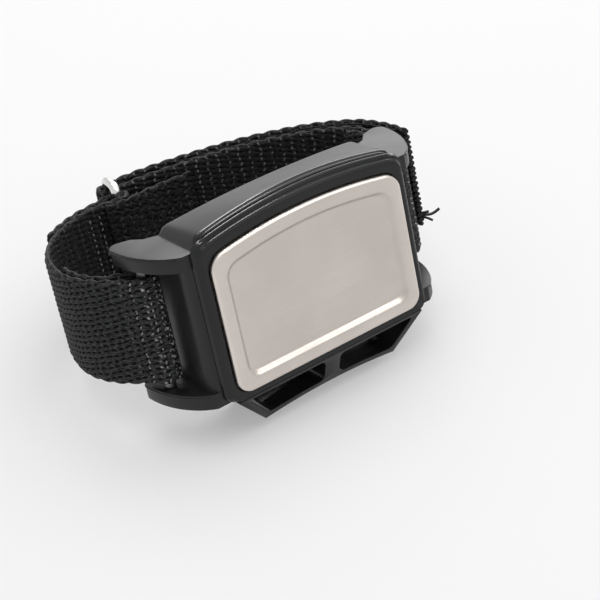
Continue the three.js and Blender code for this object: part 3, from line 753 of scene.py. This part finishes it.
# %% Seams of the lugs
for number, (side, height) in enumerate(((-1, 17.4), (1, 17.4), (-1, -15.1), (1, -15.1)), 1):
    spots = [(x, depth, height) for x, depth in lug_curve(side)[1:-2]]
    finish_piece(drawn_tube(spots, 0.2), f"lug_seam_{number}", "case", bezel_plastic, "case", smooth=80)

# %% [markdown]
# Below the plate hangs the slotted guard. Its outline and its two slots are drawn as loops and
# filled between, then the sheet is extruded to its depth. The front edge falls back as it goes
# down, so the front vertices are moved by how low they are.

# %% Outline of the guard
GUARD_HALF = 24.8
GUARD_TOP = -18
RAIL_HALF = 17.6
RAIL_LOW = -26.6
RAIL_BOW = 1.4
RAIL_THICK = 1.2
SLOT_TOP = -18.5
STRUT = 2


def strut_x(z):
    return GUARD_HALF - 7.2 * (GUARD_TOP - z) / 8.6


def rail_z(x):
    return RAIL_LOW + RAIL_BOW * (1 - (x / RAIL_HALF) ** 2)


def slot_spots(side):
    low = rail_z(15.6) + RAIL_THICK
    spots = [
        (STRUT, SLOT_TOP), (STRUT, rail_z(STRUT) + RAIL_THICK), (9, rail_z(9) + RAIL_THICK),
        (strut_x(low) - STRUT, low), (strut_x(SLOT_TOP) - STRUT, SLOT_TOP),
    ]
    return [(side * x, z) for x, z in spots]


rail = [(x, rail_z(x)) for x in np.linspace(-RAIL_HALF, RAIL_HALF, 17)]
outline = [(-GUARD_HALF, -17.85), (-GUARD_HALF, -18.2), *rail, (GUARD_HALF, -18.2), (GUARD_HALF, -17.85)]
print("guard outline has", len(outline), "points")


# %% Slotted guard
def rounded_loop(bm, spots, corner, depth):
    before = set(bm.edges)
    face = bm.faces.new([bm.verts.new((x, depth, z)) for x, z in spots])
    soften(bm, face.verts[:], corner, 5, "VERTICES")
    return outline_only(bm, before)


bm = bmesh.new()
verts = [bm.verts.new((x, 0, z)) for x, z in outline]
edges = [bm.edges.new((a, b)) for a, b in zip(verts, verts[1:] + verts[:1])]
for side in (-1, 1):
    edges += rounded_loop(bm, slot_spots(side), 1.3, 0)
bmesh.ops.triangle_fill(bm, use_beauty=True, use_dissolve=True, edges=edges)
grown = bmesh.ops.extrude_face_region(bm, geom=bm.faces[:])
back = move_new(bm, grown, (0, 17, 0))
for vert in set(bm.verts) - set(back):
    vert.co.y = 1.15 + 0.43 * max(GUARD_TOP - vert.co.z, 0)
face_out(bm)
soften(bm, sharp_edges(bm, 40), 0.3, 3)
finish_piece(bm, "guard", "case", bezel_plastic, "case")

# %% [markdown]
# The magnets, the yoke, the cover and the spring bars are plain shapes that the frame already has
# right, so they keep their meshes and only get their finishes.

# %% Finishes of the carried-over nodes
finishes = {"magnet_left": ferrite, "magnet_right": ferrite, "back_cover": cover_plastic}
steel_nodes = ["magnet_yoke", "bar_tube_left", "bar_tube_right"]
bar_ends = [(side, end) for side in ("left", "right") for end in ("upper", "lower")]
steel_nodes += [f"bar_tip_{side}_{end}" for side, end in bar_ends]
finishes.update(dict.fromkeys(steel_nodes, bar_steel))
for name, material in finishes.items():
    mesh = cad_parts[name].data
    mesh.materials.clear()
    mesh.materials.append(material)
print(len(finishes), "nodes keep their shape")

# %% [markdown]
# Each spring bar has a coil spring inside. A small circle is spun round the bar's axis and lifted a
# little at each step, which winds a coil. The spring is wound in two halves from its middle.

# %% Springs of the bars
BAR_X = 33.0
BAR_DEPTH = 14.8
HALF_TURNS = 13
SPRING_WIRE = 0.15


def half_spring(side, end):
    sign = -1 if side == "left" else 1
    up = 1 if end == "upper" else -1
    bm = bmesh.new()
    upright = Matrix.Translation((0.5, 0, SPRING_WIRE)) @ Matrix.Rotation(math.pi / 2, 4, "X")
    bmesh.ops.create_circle(bm, cap_ends=True, radius=SPRING_WIRE, segments=6, matrix=upright)
    steps = HALF_TURNS * 7
    bmesh.ops.spin(
        bm, geom=bm.faces[:], cent=(0, 0, 0), axis=(0, 0, 1), dvec=(0, 0, 10.3 / steps),
        angle=HALF_TURNS * math.pi, steps=steps, use_duplicate=False,
    )
    bmesh.ops.transform(bm, matrix=Matrix.Diagonal((1, 1, up, 1)), verts=bm.verts[:])
    bmesh.ops.translate(bm, vec=(sign * BAR_X, BAR_DEPTH, 0), verts=bm.verts[:])
    spring = finish_piece(
        bm, f"spring_{side}_{end}", "case", bar_steel, "hardware", f"bar_spring_{side}", smooth=60,
    )
    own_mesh(spring)


for side, end in bar_ends:
    half_spring(side, end)

# %% [markdown]
# Four small screws hold the cover. A screw is turned, so its half profile is spun once round its
# axis, and the cross for the driver is cut into the head with two crossed blocks.

# %% Cover screws
screw_profile = [
    (0, 6.1), (0.9, 7.0), (0.9, 16.1), (1.9, 16.1), (2.0, 16.25), (2.0, 16.75), (1.75, 17.02), (1.2, 17.1),
    (0, 17.1),
]


def cover_screw(number):
    low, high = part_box(f"cover_screw_{number}")
    middle = to_row.inverted() @ ((Vector(low) + Vector(high)) / 2)
    bm = bmesh.new()
    spots = [bm.verts.new((r, depth, 0)) for r, depth in screw_profile]
    edges = [bm.edges.new(pair) for pair in zip(spots, spots[1:])]
    bmesh.ops.spin(
        bm, geom=spots + edges, cent=(0, 0, 0), axis=(0, 1, 0), angle=2 * math.pi, steps=32, use_merge=True,
    )
    merge(bm)
    face_out(bm)
    for turn in (0.3, 0.3 + math.pi / 2):
        blade = bmesh.new()
        place = Matrix.Translation((0, 17.1, 0)) @ Matrix.Rotation(turn, 4, "Y")
        bmesh.ops.create_cube(blade, size=1, matrix=place @ Matrix.Diagonal((2.3, 1.3, 0.5, 1)))
        bm = carve(bm, blade)
    bmesh.ops.translate(bm, vec=(middle.x, 0, middle.z), verts=bm.verts[:])
    finish_piece(bm, f"screw_{number}", "case", bar_steel, "hardware", f"cover_screw_{number}", smooth=30)


for number in (1, 2, 3, 4):
    cover_screw(number)

# %% [markdown]
# ## The webbing
# A strap is drawn by the line that its middle follows, seen from above: a curve through listed
# points, and arcs round the bars. The line is then walked in equal steps, because the weave must
# not stretch where the points lie further apart.

# %% Helpers for lines
FINE_STEP = 0.1


def curve_through(points, steps=24):
    p = np.array(points, float)
    line = []
    for i in range(len(p) - 1):
        a, b, c, d = p[max(i - 1, 0)], p[i], p[i + 1], p[min(i + 2, len(p) - 1)]
        for t in np.linspace(0, 1, steps, endpoint=False):
            line.append(0.5 * (
                2 * b + (c - a) * t + (2 * a - 5 * b + 4 * c - d) * t**2 + (3 * b - a - 3 * c + d) * t**3
            ))
    return np.array([*line, p[-1]])


def distances(line):
    return np.concatenate(([0], np.cumsum(np.linalg.norm(np.diff(line, axis=0), axis=1))))


def walk(line, step):
    lengths = distances(line)
    count = max(int(round(lengths[-1] / step)), 2)
    at = np.linspace(0, lengths[-1], count + 1)
    return np.column_stack([np.interp(at, lengths, way) for way in line.T])


def outward(line):
    along = np.gradient(line, axis=0)
    along /= np.linalg.norm(along, axis=1)[:, None]
    return np.column_stack((-along[:, 1], along[:, 0]))


def aside(line, distance):
    return line + distance * outward(line)


def part_of(line, start, end):
    fine = walk(line, FINE_STEP)
    last = len(fine) - 1
    return fine[int(start * last):int(end * last) + 1]


def arc(centre, radius, start, end):
    angles = np.linspace(start, end, 40)
    return centre + radius * np.column_stack((np.cos(angles), np.sin(angles)))


# %% Outer faces of the straps
WEB = 1.6
BAR_EYE = 2.4
RING_EYE = 2.2
LEAVE = math.radians(33)
bar_left = np.array((-BAR_X, BAR_DEPTH))
bar_right = np.array((BAR_X, BAR_DEPTH))
ring_inner = np.array((-14.6, 58.0))
ring_outer = np.array((-13.5, 64.6))
short_face = curve_through([
    bar_left - (BAR_EYE + WEB / 2) * np.array((math.cos(LEAVE), math.sin(LEAVE))),
    (-37.9, 16.6), (-40.8, 20.4), (-43, 25), (-44.1, 30.6), (-43.6, 36.6), (-41.6, 43.4), (-37.6, 49.6),
    (-31.8, 54.2), (-25, 57.2), (-19.6, 57.6), (-14.6, 56.6),
])
tail_face = curve_through([
    (-13.5, 67.6), (-8.9, 67.2), (-3.4, 66.3), (3.6, 64.3), (11, 61.7), (17.9, 58.8), (24.2, 55.3),
    (30.4, 51.1), (35.9, 46.5), (40.1, 42), (42.9, 37.4), (44.3, 32), (44.8, 27.4), (44.7, 23),
])
print("short strap and tail run", [round(distances(face)[-1]) for face in (short_face, tail_face)], "mm")

# %% [markdown]
# The short strap goes round the left spring bar with its sewn end on the wrist side, and round the
# ring's inner bar with its other end folded back outside. The long strap starts in the fold at
# the ring's outer bar, passes inside the tail and goes round the right spring bar.

# %% Middles of the straps
WEB_STEP = 0.43


def strap_line(*parts):
    return walk(curve_through(walk(np.vstack(parts), 1.3), 12), WEB_STEP)


short_line = strap_line(
    aside(part_of(short_face, 0.15, 0.35), -2.45)[::-1],
    arc(bar_left, BAR_EYE, LEAVE, LEAVE - math.pi),
    aside(part_of(short_face, 0.04, 0.985), -WEB / 2),
    arc(ring_inner, RING_EYE, -math.pi / 2, math.pi / 2),
    aside(part_of(short_face, 0.67, 0.89), 0.85)[::-1],
)
fold_line = arc(ring_outer, RING_EYE, math.pi / 2, 1.5 * math.pi)
long_line = strap_line(
    fold_line[12:],
    aside(part_of(tail_face, 0.06, 0.88), -5.1),
    [(38.4, 20.6), (37.2, 17)],
    arc(bar_right, BAR_EYE, -LEAVE, -LEAVE - math.pi),
    [(32.6, 17.6), (35.4, 19.6)],
    aside(part_of(tail_face, 0.8, 0.95), -7.0)[::-1],
)
tail_line = strap_line(fold_line[:13][::-1], aside(part_of(tail_face, 0.02, 1), -WEB / 2))
print("ribbon steps", len(short_line), len(long_line), len(tail_line))

# %% [markdown]
# A ribbon starts as a flat grid. One way of the grid follows the strap's line, and the other goes
# once round its flat section. In the code, s is the way along the strap, w the way across it and n
# the height over its middle. The face is 1 outside, -1 inside and 0 on the edges.

# %% Section and grid of a ribbon
def ribbon_section(width, thick, across):
    half = (width - thick) / 2
    flat = np.linspace(-half, half, across)
    turn = np.linspace(math.pi / 2, -math.pi / 2, 7)[1:-1]
    round_edge = half + thick / 2 * np.cos(turn)
    w = np.concatenate((flat, round_edge, flat[::-1], -round_edge))
    outer = np.ones(across)
    n = thick / 2 * np.concatenate((outer, np.sin(turn), -outer, -np.sin(turn)))
    face = np.concatenate((outer, 0 * turn, -outer, 0 * turn))
    return [np.append(values, values[0]) for values in (w, n, face)]


def flat_grid(name, columns, rows):
    bm = bmesh.new()
    bm.loops.layers.uv.new("weave")
    bmesh.ops.create_grid(bm, x_segments=columns, y_segments=rows, size=1, calc_uvs=True)
    mesh = to_mesh(bm, name)
    flat = np.zeros(len(mesh.vertices) * 3)
    mesh.vertices.foreach_get("co", flat)
    flat = flat.reshape(-1, 3)
    column = np.rint((flat[:, 0] + 1) / 2 * columns).astype(int)
    row = np.rint((flat[:, 1] + 1) / 2 * rows).astype(int)
    return mesh, column, row


# %% [markdown]
# The weave is pressed into the ribbon as real relief, on the lattice that the material uses. The
# yarns are never quite straight, so the lattice is shifted a little from place to place. The long
# strap and the tail also rise towards the right bar.

# %% Weave relief
RISE = 1.5


def clipped(values, begin, full):
    return np.clip((values - begin) / (full - begin), 0, 1)


def slit_weave(s, w, face):
    lengthwise = np.cos(2 * math.pi * s / PICK)
    crosswise = np.cos(2 * math.pi * (w + SLANT * s) / ROW)
    swell = 0.2 * crosswise + 0.12 * lengthwise
    return 0.8 - swell - 0.7 * clipped(lengthwise, *SLIT_ALONG) * clipped(crosswise, *SLIT_ACROSS)


def settle(s, w):
    along = s + 0.2 * np.sin(1.7 * w + 0.6 * s) + 0.12 * np.sin(4.3 * w)
    return along, w + 0.1 * np.sin(1.3 * s + 0.9 * w)


def risen(x):
    return RISE * clipped(x, ring_outer[0], bar_right[0])


# Painted glints: on the outside they show only near the spring bars, in patches; on the inside they are weak
# and even.
def painted_glint_weight(s, w, face, middle, slid):
    near_bar = np.minimum(*(np.hypot(*(middle - bar).T) for bar in (bar_left, bar_right)))
    glint_speckle = np.sin(4.9 * s + 1.3) * np.sin(3.7 * w + 2.3 * s) > 0.1
    return np.where(face > 0, np.clip((9 - near_bar) / 6, 0, 1) ** 2 * glint_speckle, 0.3 if slid else 0.12)


# %% [markdown]
# Each vertex is set to its place, with small scallops along the edges where the weft turns back.
# The attributes and the UV map for the material are written on the mesh, and its seam and its two
# ends are closed.

# %% Woven ribbon
EDGE_BAND = 1.6


def ribbon(
    name, line, make, body, material, slot, *nodes, across=132, scallop=0.2, slid=False, warp=settle,
):
    width, thick, relief, pattern = make
    section = ribbon_section(width, thick, across)
    mesh, column, row = flat_grid(name, len(section[0]) - 1, len(line) - 1)
    w, n, face = [values[column] for values in section]
    s = distances(line)[row]
    middle = line[row]
    out = outward(line)[row]
    yarn = warp(s, w)
    turns = 2 * np.abs(np.cos(math.pi * s / (2 * PICK) + np.where(w > 0, 0, 0.9))) - 1.2
    crown = np.where(face == 0, 0.45 + 0.3 * turns, pattern(*yarn, face))
    edge = np.clip((np.abs(w) - (width / 2 - EDGE_BAND)) / EDGE_BAND, 0, 1)
    deep = relief * np.where(face < 0, 0.6, 1.0)
    offset = (n + face * deep * (crown - 0.6)) * (1 - 0.35 * edge)
    wide = w + np.sign(w) * edge * scallop * turns
    if slid:
        wide = wide + risen(middle[:, 0])
    places = np.column_stack((middle + out * offset[:, None], wide))
    mesh.vertices.foreach_set("co", places.ravel())
    glint = painted_glint_weight(s, w, face, middle, slid)
    # Painted shade: the inner face is darker.
    inner_shade = np.where(face < 0, 0.4, 1.0)
    for label, values in (("crown", crown), ("glint", glint), ("inner_shade", inner_shade)):
        mesh.attributes.new(label, "FLOAT", "POINT").data.foreach_set("value", values.astype(np.float32))
    corners = np.zeros(len(mesh.loops), dtype=np.int32)
    mesh.loops.foreach_get("vertex_index", corners)
    mesh.uv_layers["weave"].data.foreach_set("uv", np.column_stack(yarn)[corners].ravel())
    bm = bmesh.new()
    bm.from_mesh(mesh)
    bpy.data.meshes.remove(mesh)
    merge(bm, 0.0005)
    close_holes(bm)
    finish_piece(bm, name, body, material, slot, *nodes, smooth=80)


# %% [markdown]
# A ribbon's make is its width, its thickness without the weave, the depth of the weave and the
# pattern. The tail's crease at the ring is given by two bodies and two points, but the tail is
# only fixed where it lies.

# %% Straps
web_make = (25, 1.35, 0.56, slit_weave)
ribbon("short_web", short_line, web_make, "short_strap", webbing, "webbing", "short_strap")
ribbon("long_web", long_line, web_make, "long_strap", webbing, "webbing", "long_strap", slid=True)
crease = ("long_strap", "strap_tail", row_point(-13.5, 67.6, 0), row_point(-6.5, 67.0, 0))
ribbon("tail_web", tail_line, web_make, crease, webbing, "webbing", "strap_tail", slid=True)

# %% [markdown]
# A tongue of looser webbing is caught in the fold at the ring and reaches past it, so that the wire
# does not press on the wrist. It is one more ribbon, with a weave that wanders a little.

# %% Tongue under the ring
def wander(s, w):
    along = s + 0.6 * np.sin(1.9 * w) + 0.4 * np.sin(0.9 * s + 4.1 * w)
    return along, 0.8 * (w + 0.34 * np.sin(2.6 * s + 1.6 * np.sin(1.2 * w)))


far_half = walk(short_face, FINE_STEP)
far_half = far_half[far_half[:, 1] > 50]
caught = far_half[(far_half[:, 0] > -19.2) & (far_half[:, 0] < -17.2)]
tongue_line = strap_line(aside(caught, -2.7), [(-14.2, 54.1), (-9, 54.6), (-4, 54.6), (1, 54.2), (3, 53.9)])
tongue_make = (24.6, 1.1, 0.7, slit_weave)
ribbon("ring_tongue", tongue_line, tongue_make, "short_strap", webbing, "webbing", warp=wander)

# %% [markdown]
# Thread holds the folds: three columns of stitches round the left spring bar, and two inside the
# short strap beside the ring. A stitch is a small bead of thread, drawn long across the strap, and
# chance shifts, slants and lengthens each a little.

# %% Stitches
STITCH_PITCH = 1.55
BAR_STITCH = 3.1


def stitch_columns(name, columns, body):
    bm = bmesh.new()
    chance = np.random.default_rng(5)
    for x, depth, low, high in columns:
        for z in np.arange(low, high, STITCH_PITCH):
            shift = chance.uniform(-0.25, 0.25)
            slant = chance.uniform(-0.5, 0.5)
            long = chance.uniform(0.3, 0.52)
            place = Matrix.Translation((x, depth, z + shift)) @ Matrix.Rotation(slant, 4, "Y")
            place = place @ Matrix.Diagonal((0.22, 0.2, long, 1))
            bmesh.ops.create_uvsphere(bm, u_segments=8, v_segments=5, radius=1, matrix=place)
    finish_piece(bm, name, body, thread, "webbing", smooth=70)


def under(line, x, distance):
    near = int(np.argmin(np.abs(line[:, 0] - x)))
    return aside(line, distance)[near]


def round_bar(bar, degrees, low):
    turn = math.radians(degrees)
    return bar[0] + BAR_STITCH * math.cos(turn), bar[1] + BAR_STITCH * math.sin(turn), low, 11.6


bar_columns = [round_bar(bar_left, d, -11.6 + i % 2 * 0.7) for i, d in enumerate((-48, -78, -108))]
stitch_columns("left_bar_stitches", bar_columns, "short_strap")
ring_columns = [(*under(far_half, x, -1.62), -10.6, 10.9) for x in (-24, -21)]
stitch_columns("ring_stitches", ring_columns, "short_strap")

# %% [markdown]
# Hook and loop tape closes the tail on the strap. The hook side is a grid of stiff bristles in
# rows, and the loop side is a soft uneven pile. Both are thin ribbons with their own relief.

# %% Hook and loop tapes
TAPE_STEP = 0.4


def hook_rows(s, w, face):
    dots = np.abs(np.cos(math.pi * s / 2.1)) * np.abs(np.cos(math.pi * w / 1.5))
    return np.where(face < 0, dots**1.5, 0.4)


def loop_pile(s, w, face):
    lumps = np.sin(3.1 * s + 1.7 * np.sin(1.3 * w)) * np.sin(2.7 * w + 1.9 * np.sin(1.1 * s))
    return np.where(face > 0, 0.5 + 0.5 * lumps, 0.4)


def tape(name, line, pattern, body, node):
    make = (24.4, 0.7, 0.4, pattern)
    ribbon(name, line, make, body, pile, "tape", node, across=80, scallop=0.0, slid=True)


hook_line = walk(aside(part_of(tail_face, 0.6, 0.97), -2.3), TAPE_STEP)
loop_line = walk(aside(part_of(tail_face, 0.24, 0.84), -3.6), TAPE_STEP)
tape("hook_side", hook_line, hook_rows, "strap_tail", "hook_tape")
tape("loop_side", loop_line, loop_pile, "long_strap", "loop_tape")

# %% [markdown]
# Three loose thread ends stick out of the tail's cut edge. Each is a fine tube along a few points,
# drawn like the ribs over the plate.

# %% Thread ends
long_end = [(43.6, 25, -8.4), (44.9, 23, -8.4), (46.2, 22.4, -9), (47.3, 21.6, -8.3), (48.2, 21.2, -7.7)]
short_end = [(43.6, 25, -8.9), (44.9, 23, -8.9), (45.3, 22.2, -9.3), (46, 21.5, -10)]
tuft_end = [(43.6, 25, -8), (44.8, 23, -8), (45.5, 22, -7.6)]
for number, spots, thick in ((1, long_end, 0.36), (2, short_end, 0.3), (3, tuft_end, 0.36)):
    end = drawn_tube(spots, thick)
    finish_piece(end, f"thread_end_{number}", "strap_tail", black_thread, "webbing", smooth=80)

# %% [markdown]
# The ring is bent from plated wire. A circle, the wire's section, is extruded along each straight
# side and spun a quarter turn at each corner.

# %% Wire ring
RING_HALF = 14.2
RING_CORNER = 1.6
WIRE = 1.1
across_ring = ring_outer - ring_inner
reach = np.linalg.norm(across_ring) / 2
across_ring = across_ring / np.linalg.norm(across_ring)
bm = bmesh.new()
start = Matrix.Translation((reach, 0, -RING_HALF + RING_CORNER))
bmesh.ops.create_circle(bm, cap_ends=False, radius=WIRE, segments=20, matrix=start)
edges = bm.edges[:]
corner_x = reach - RING_CORNER
corner_z = RING_HALF - RING_CORNER
sides = [
    ((0, 0, 2 * corner_z), (corner_x, 0, corner_z)), ((-2 * corner_x, 0, 0), (-corner_x, 0, corner_z)),
    ((0, 0, -2 * corner_z), (-corner_x, 0, -corner_z)), ((2 * corner_x, 0, 0), (corner_x, 0, -corner_z)),
]
for run, centre in sides:
    grown = bmesh.ops.extrude_edge_only(bm, edges=edges)
    edges = of_kind(grown["geom"], BMEdge)
    move_new(bm, grown, run)
    bent = bmesh.ops.spin(
        bm, geom=edges, cent=centre, axis=(0, -1, 0), angle=math.pi / 2, steps=8, use_duplicate=False,
    )
    edges = of_kind(bent["geom_last"], BMEdge)
merge(bm)
ring_middle = (ring_inner + ring_outer) / 2
stand = Matrix((
    (across_ring[0], across_ring[1], 0, ring_middle[0]),
    (across_ring[1], -across_ring[0], 0, ring_middle[1]),
    (0, 0, 1, 0),
    (0, 0, 0, 1),
))
bm.transform(stand)
finish_piece(bm, "wire_ring", "buckle_ring", ring_plating, "ring", "buckle_ring", smooth=60)

# %% [markdown]
# ## Floor and light
# The band stands on a plain pale floor. The floor is brightened only for rays that are seen:
# camera, glossy and transmission rays. So it shows in reflections but gives no diffuse light, and
# its shadows stay.

# %% Floor
def seen_rays(tree):
    path = tree.nodes.new("ShaderNodeLightPath")
    seen = path.outputs["Is Camera Ray"]
    for label in ("Is Glossy Ray", "Is Transmission Ray"):
        seen = combine(tree, "MAXIMUM", seen, path.outputs[label])
    return seen


floor_material, tree, shader = new_material("pale_floor")
grain = add_group(tree, grain_group, Fine=900.0, Broad=4.0)
colour_by(tree, shader, grain.outputs["Mottle"], (0.6, 0.598, 0.602), (0.63, 0.628, 0.632))
shader.inputs["Roughness"].default_value = 0.8
shader.inputs["Emission Color"].default_value = (1, 0.997, 1, 1)
tree.links.new(spread(tree, seen_rays(tree), 0, 0.3, 0, 1), shader.inputs["Emission Strength"])
bm = bmesh.new()
bmesh.ops.create_grid(bm, x_segments=2, y_segments=2, size=3)
floor = add_object("floor", to_mesh(bm, "floor"))
floor.data.materials.append(floor_material)
print("floor is", floor_material.name)

# %% [markdown]
# One broad lamp overhead lights the floor and the band. Three more lamps are seen in reflections
# only: one behind lets the satin plastic shine, a higher one draws the bright lines, and one in
# front picks out the step of the plate.

# %% Lamps
def soft_lamp(name, place, aim, size, power, diffuse=False):
    lamp = bpy.data.lights.new(name, "AREA")
    lamp.shape = "RECTANGLE"
    lamp.size, lamp.size_y = size
    lamp.energy = power
    lamp_object = add_object(name, lamp)
    lamp_object.location = place
    lamp_object.rotation_euler = (Vector(aim) - Vector(place)).to_track_quat("-Z", "Y").to_euler()
    lamp_object.visible_diffuse = diffuse


soft_lamp("lamp_above", (0.45, -0.1, 1.3), (0.05, 0, 0.03), (2.0, 2.0), 11.0, diffuse=True)
soft_lamp("lamp_behind", (0.78, 0.76, 0.37), (0, 0, 0.03), (1.0, 0.45), 5.5)
soft_lamp("lamp_glint", (0.25, 0.69, 0.95), (0, 0, 0.04), (0.36, 0.6), 16.0)
soft_lamp("lamp_step", (0.6, -0.77, 0.85), (0, 0, 0.03), (0.5, 0.5), 1.5)

# %% [markdown]
# The world is even. White light from it falls on the band, and what is seen of it, also in the
# steel, is a pale grey.

# %% World
world = bpy.data.worlds.new("studio")
scene.world = world
world.use_nodes = True
tree = world.node_tree
light = tree.nodes["Background"]
light.inputs["Color"].default_value = (1, 1, 1, 1)
light.inputs["Strength"].default_value = 0.62
seen = add_node(tree, "ShaderNodeBackground", {"Strength": 1.0})
choose = add_node(tree, "ShaderNodeMixShader", {"Fac": seen_rays(tree)})
tree.links.new(light.outputs["Background"], choose.inputs[1])
tree.links.new(seen.outputs["Background"], choose.inputs[2])
tree.links.new(choose.outputs["Shader"], tree.nodes["World Output"].inputs["Surface"])
print("world is", world.name)
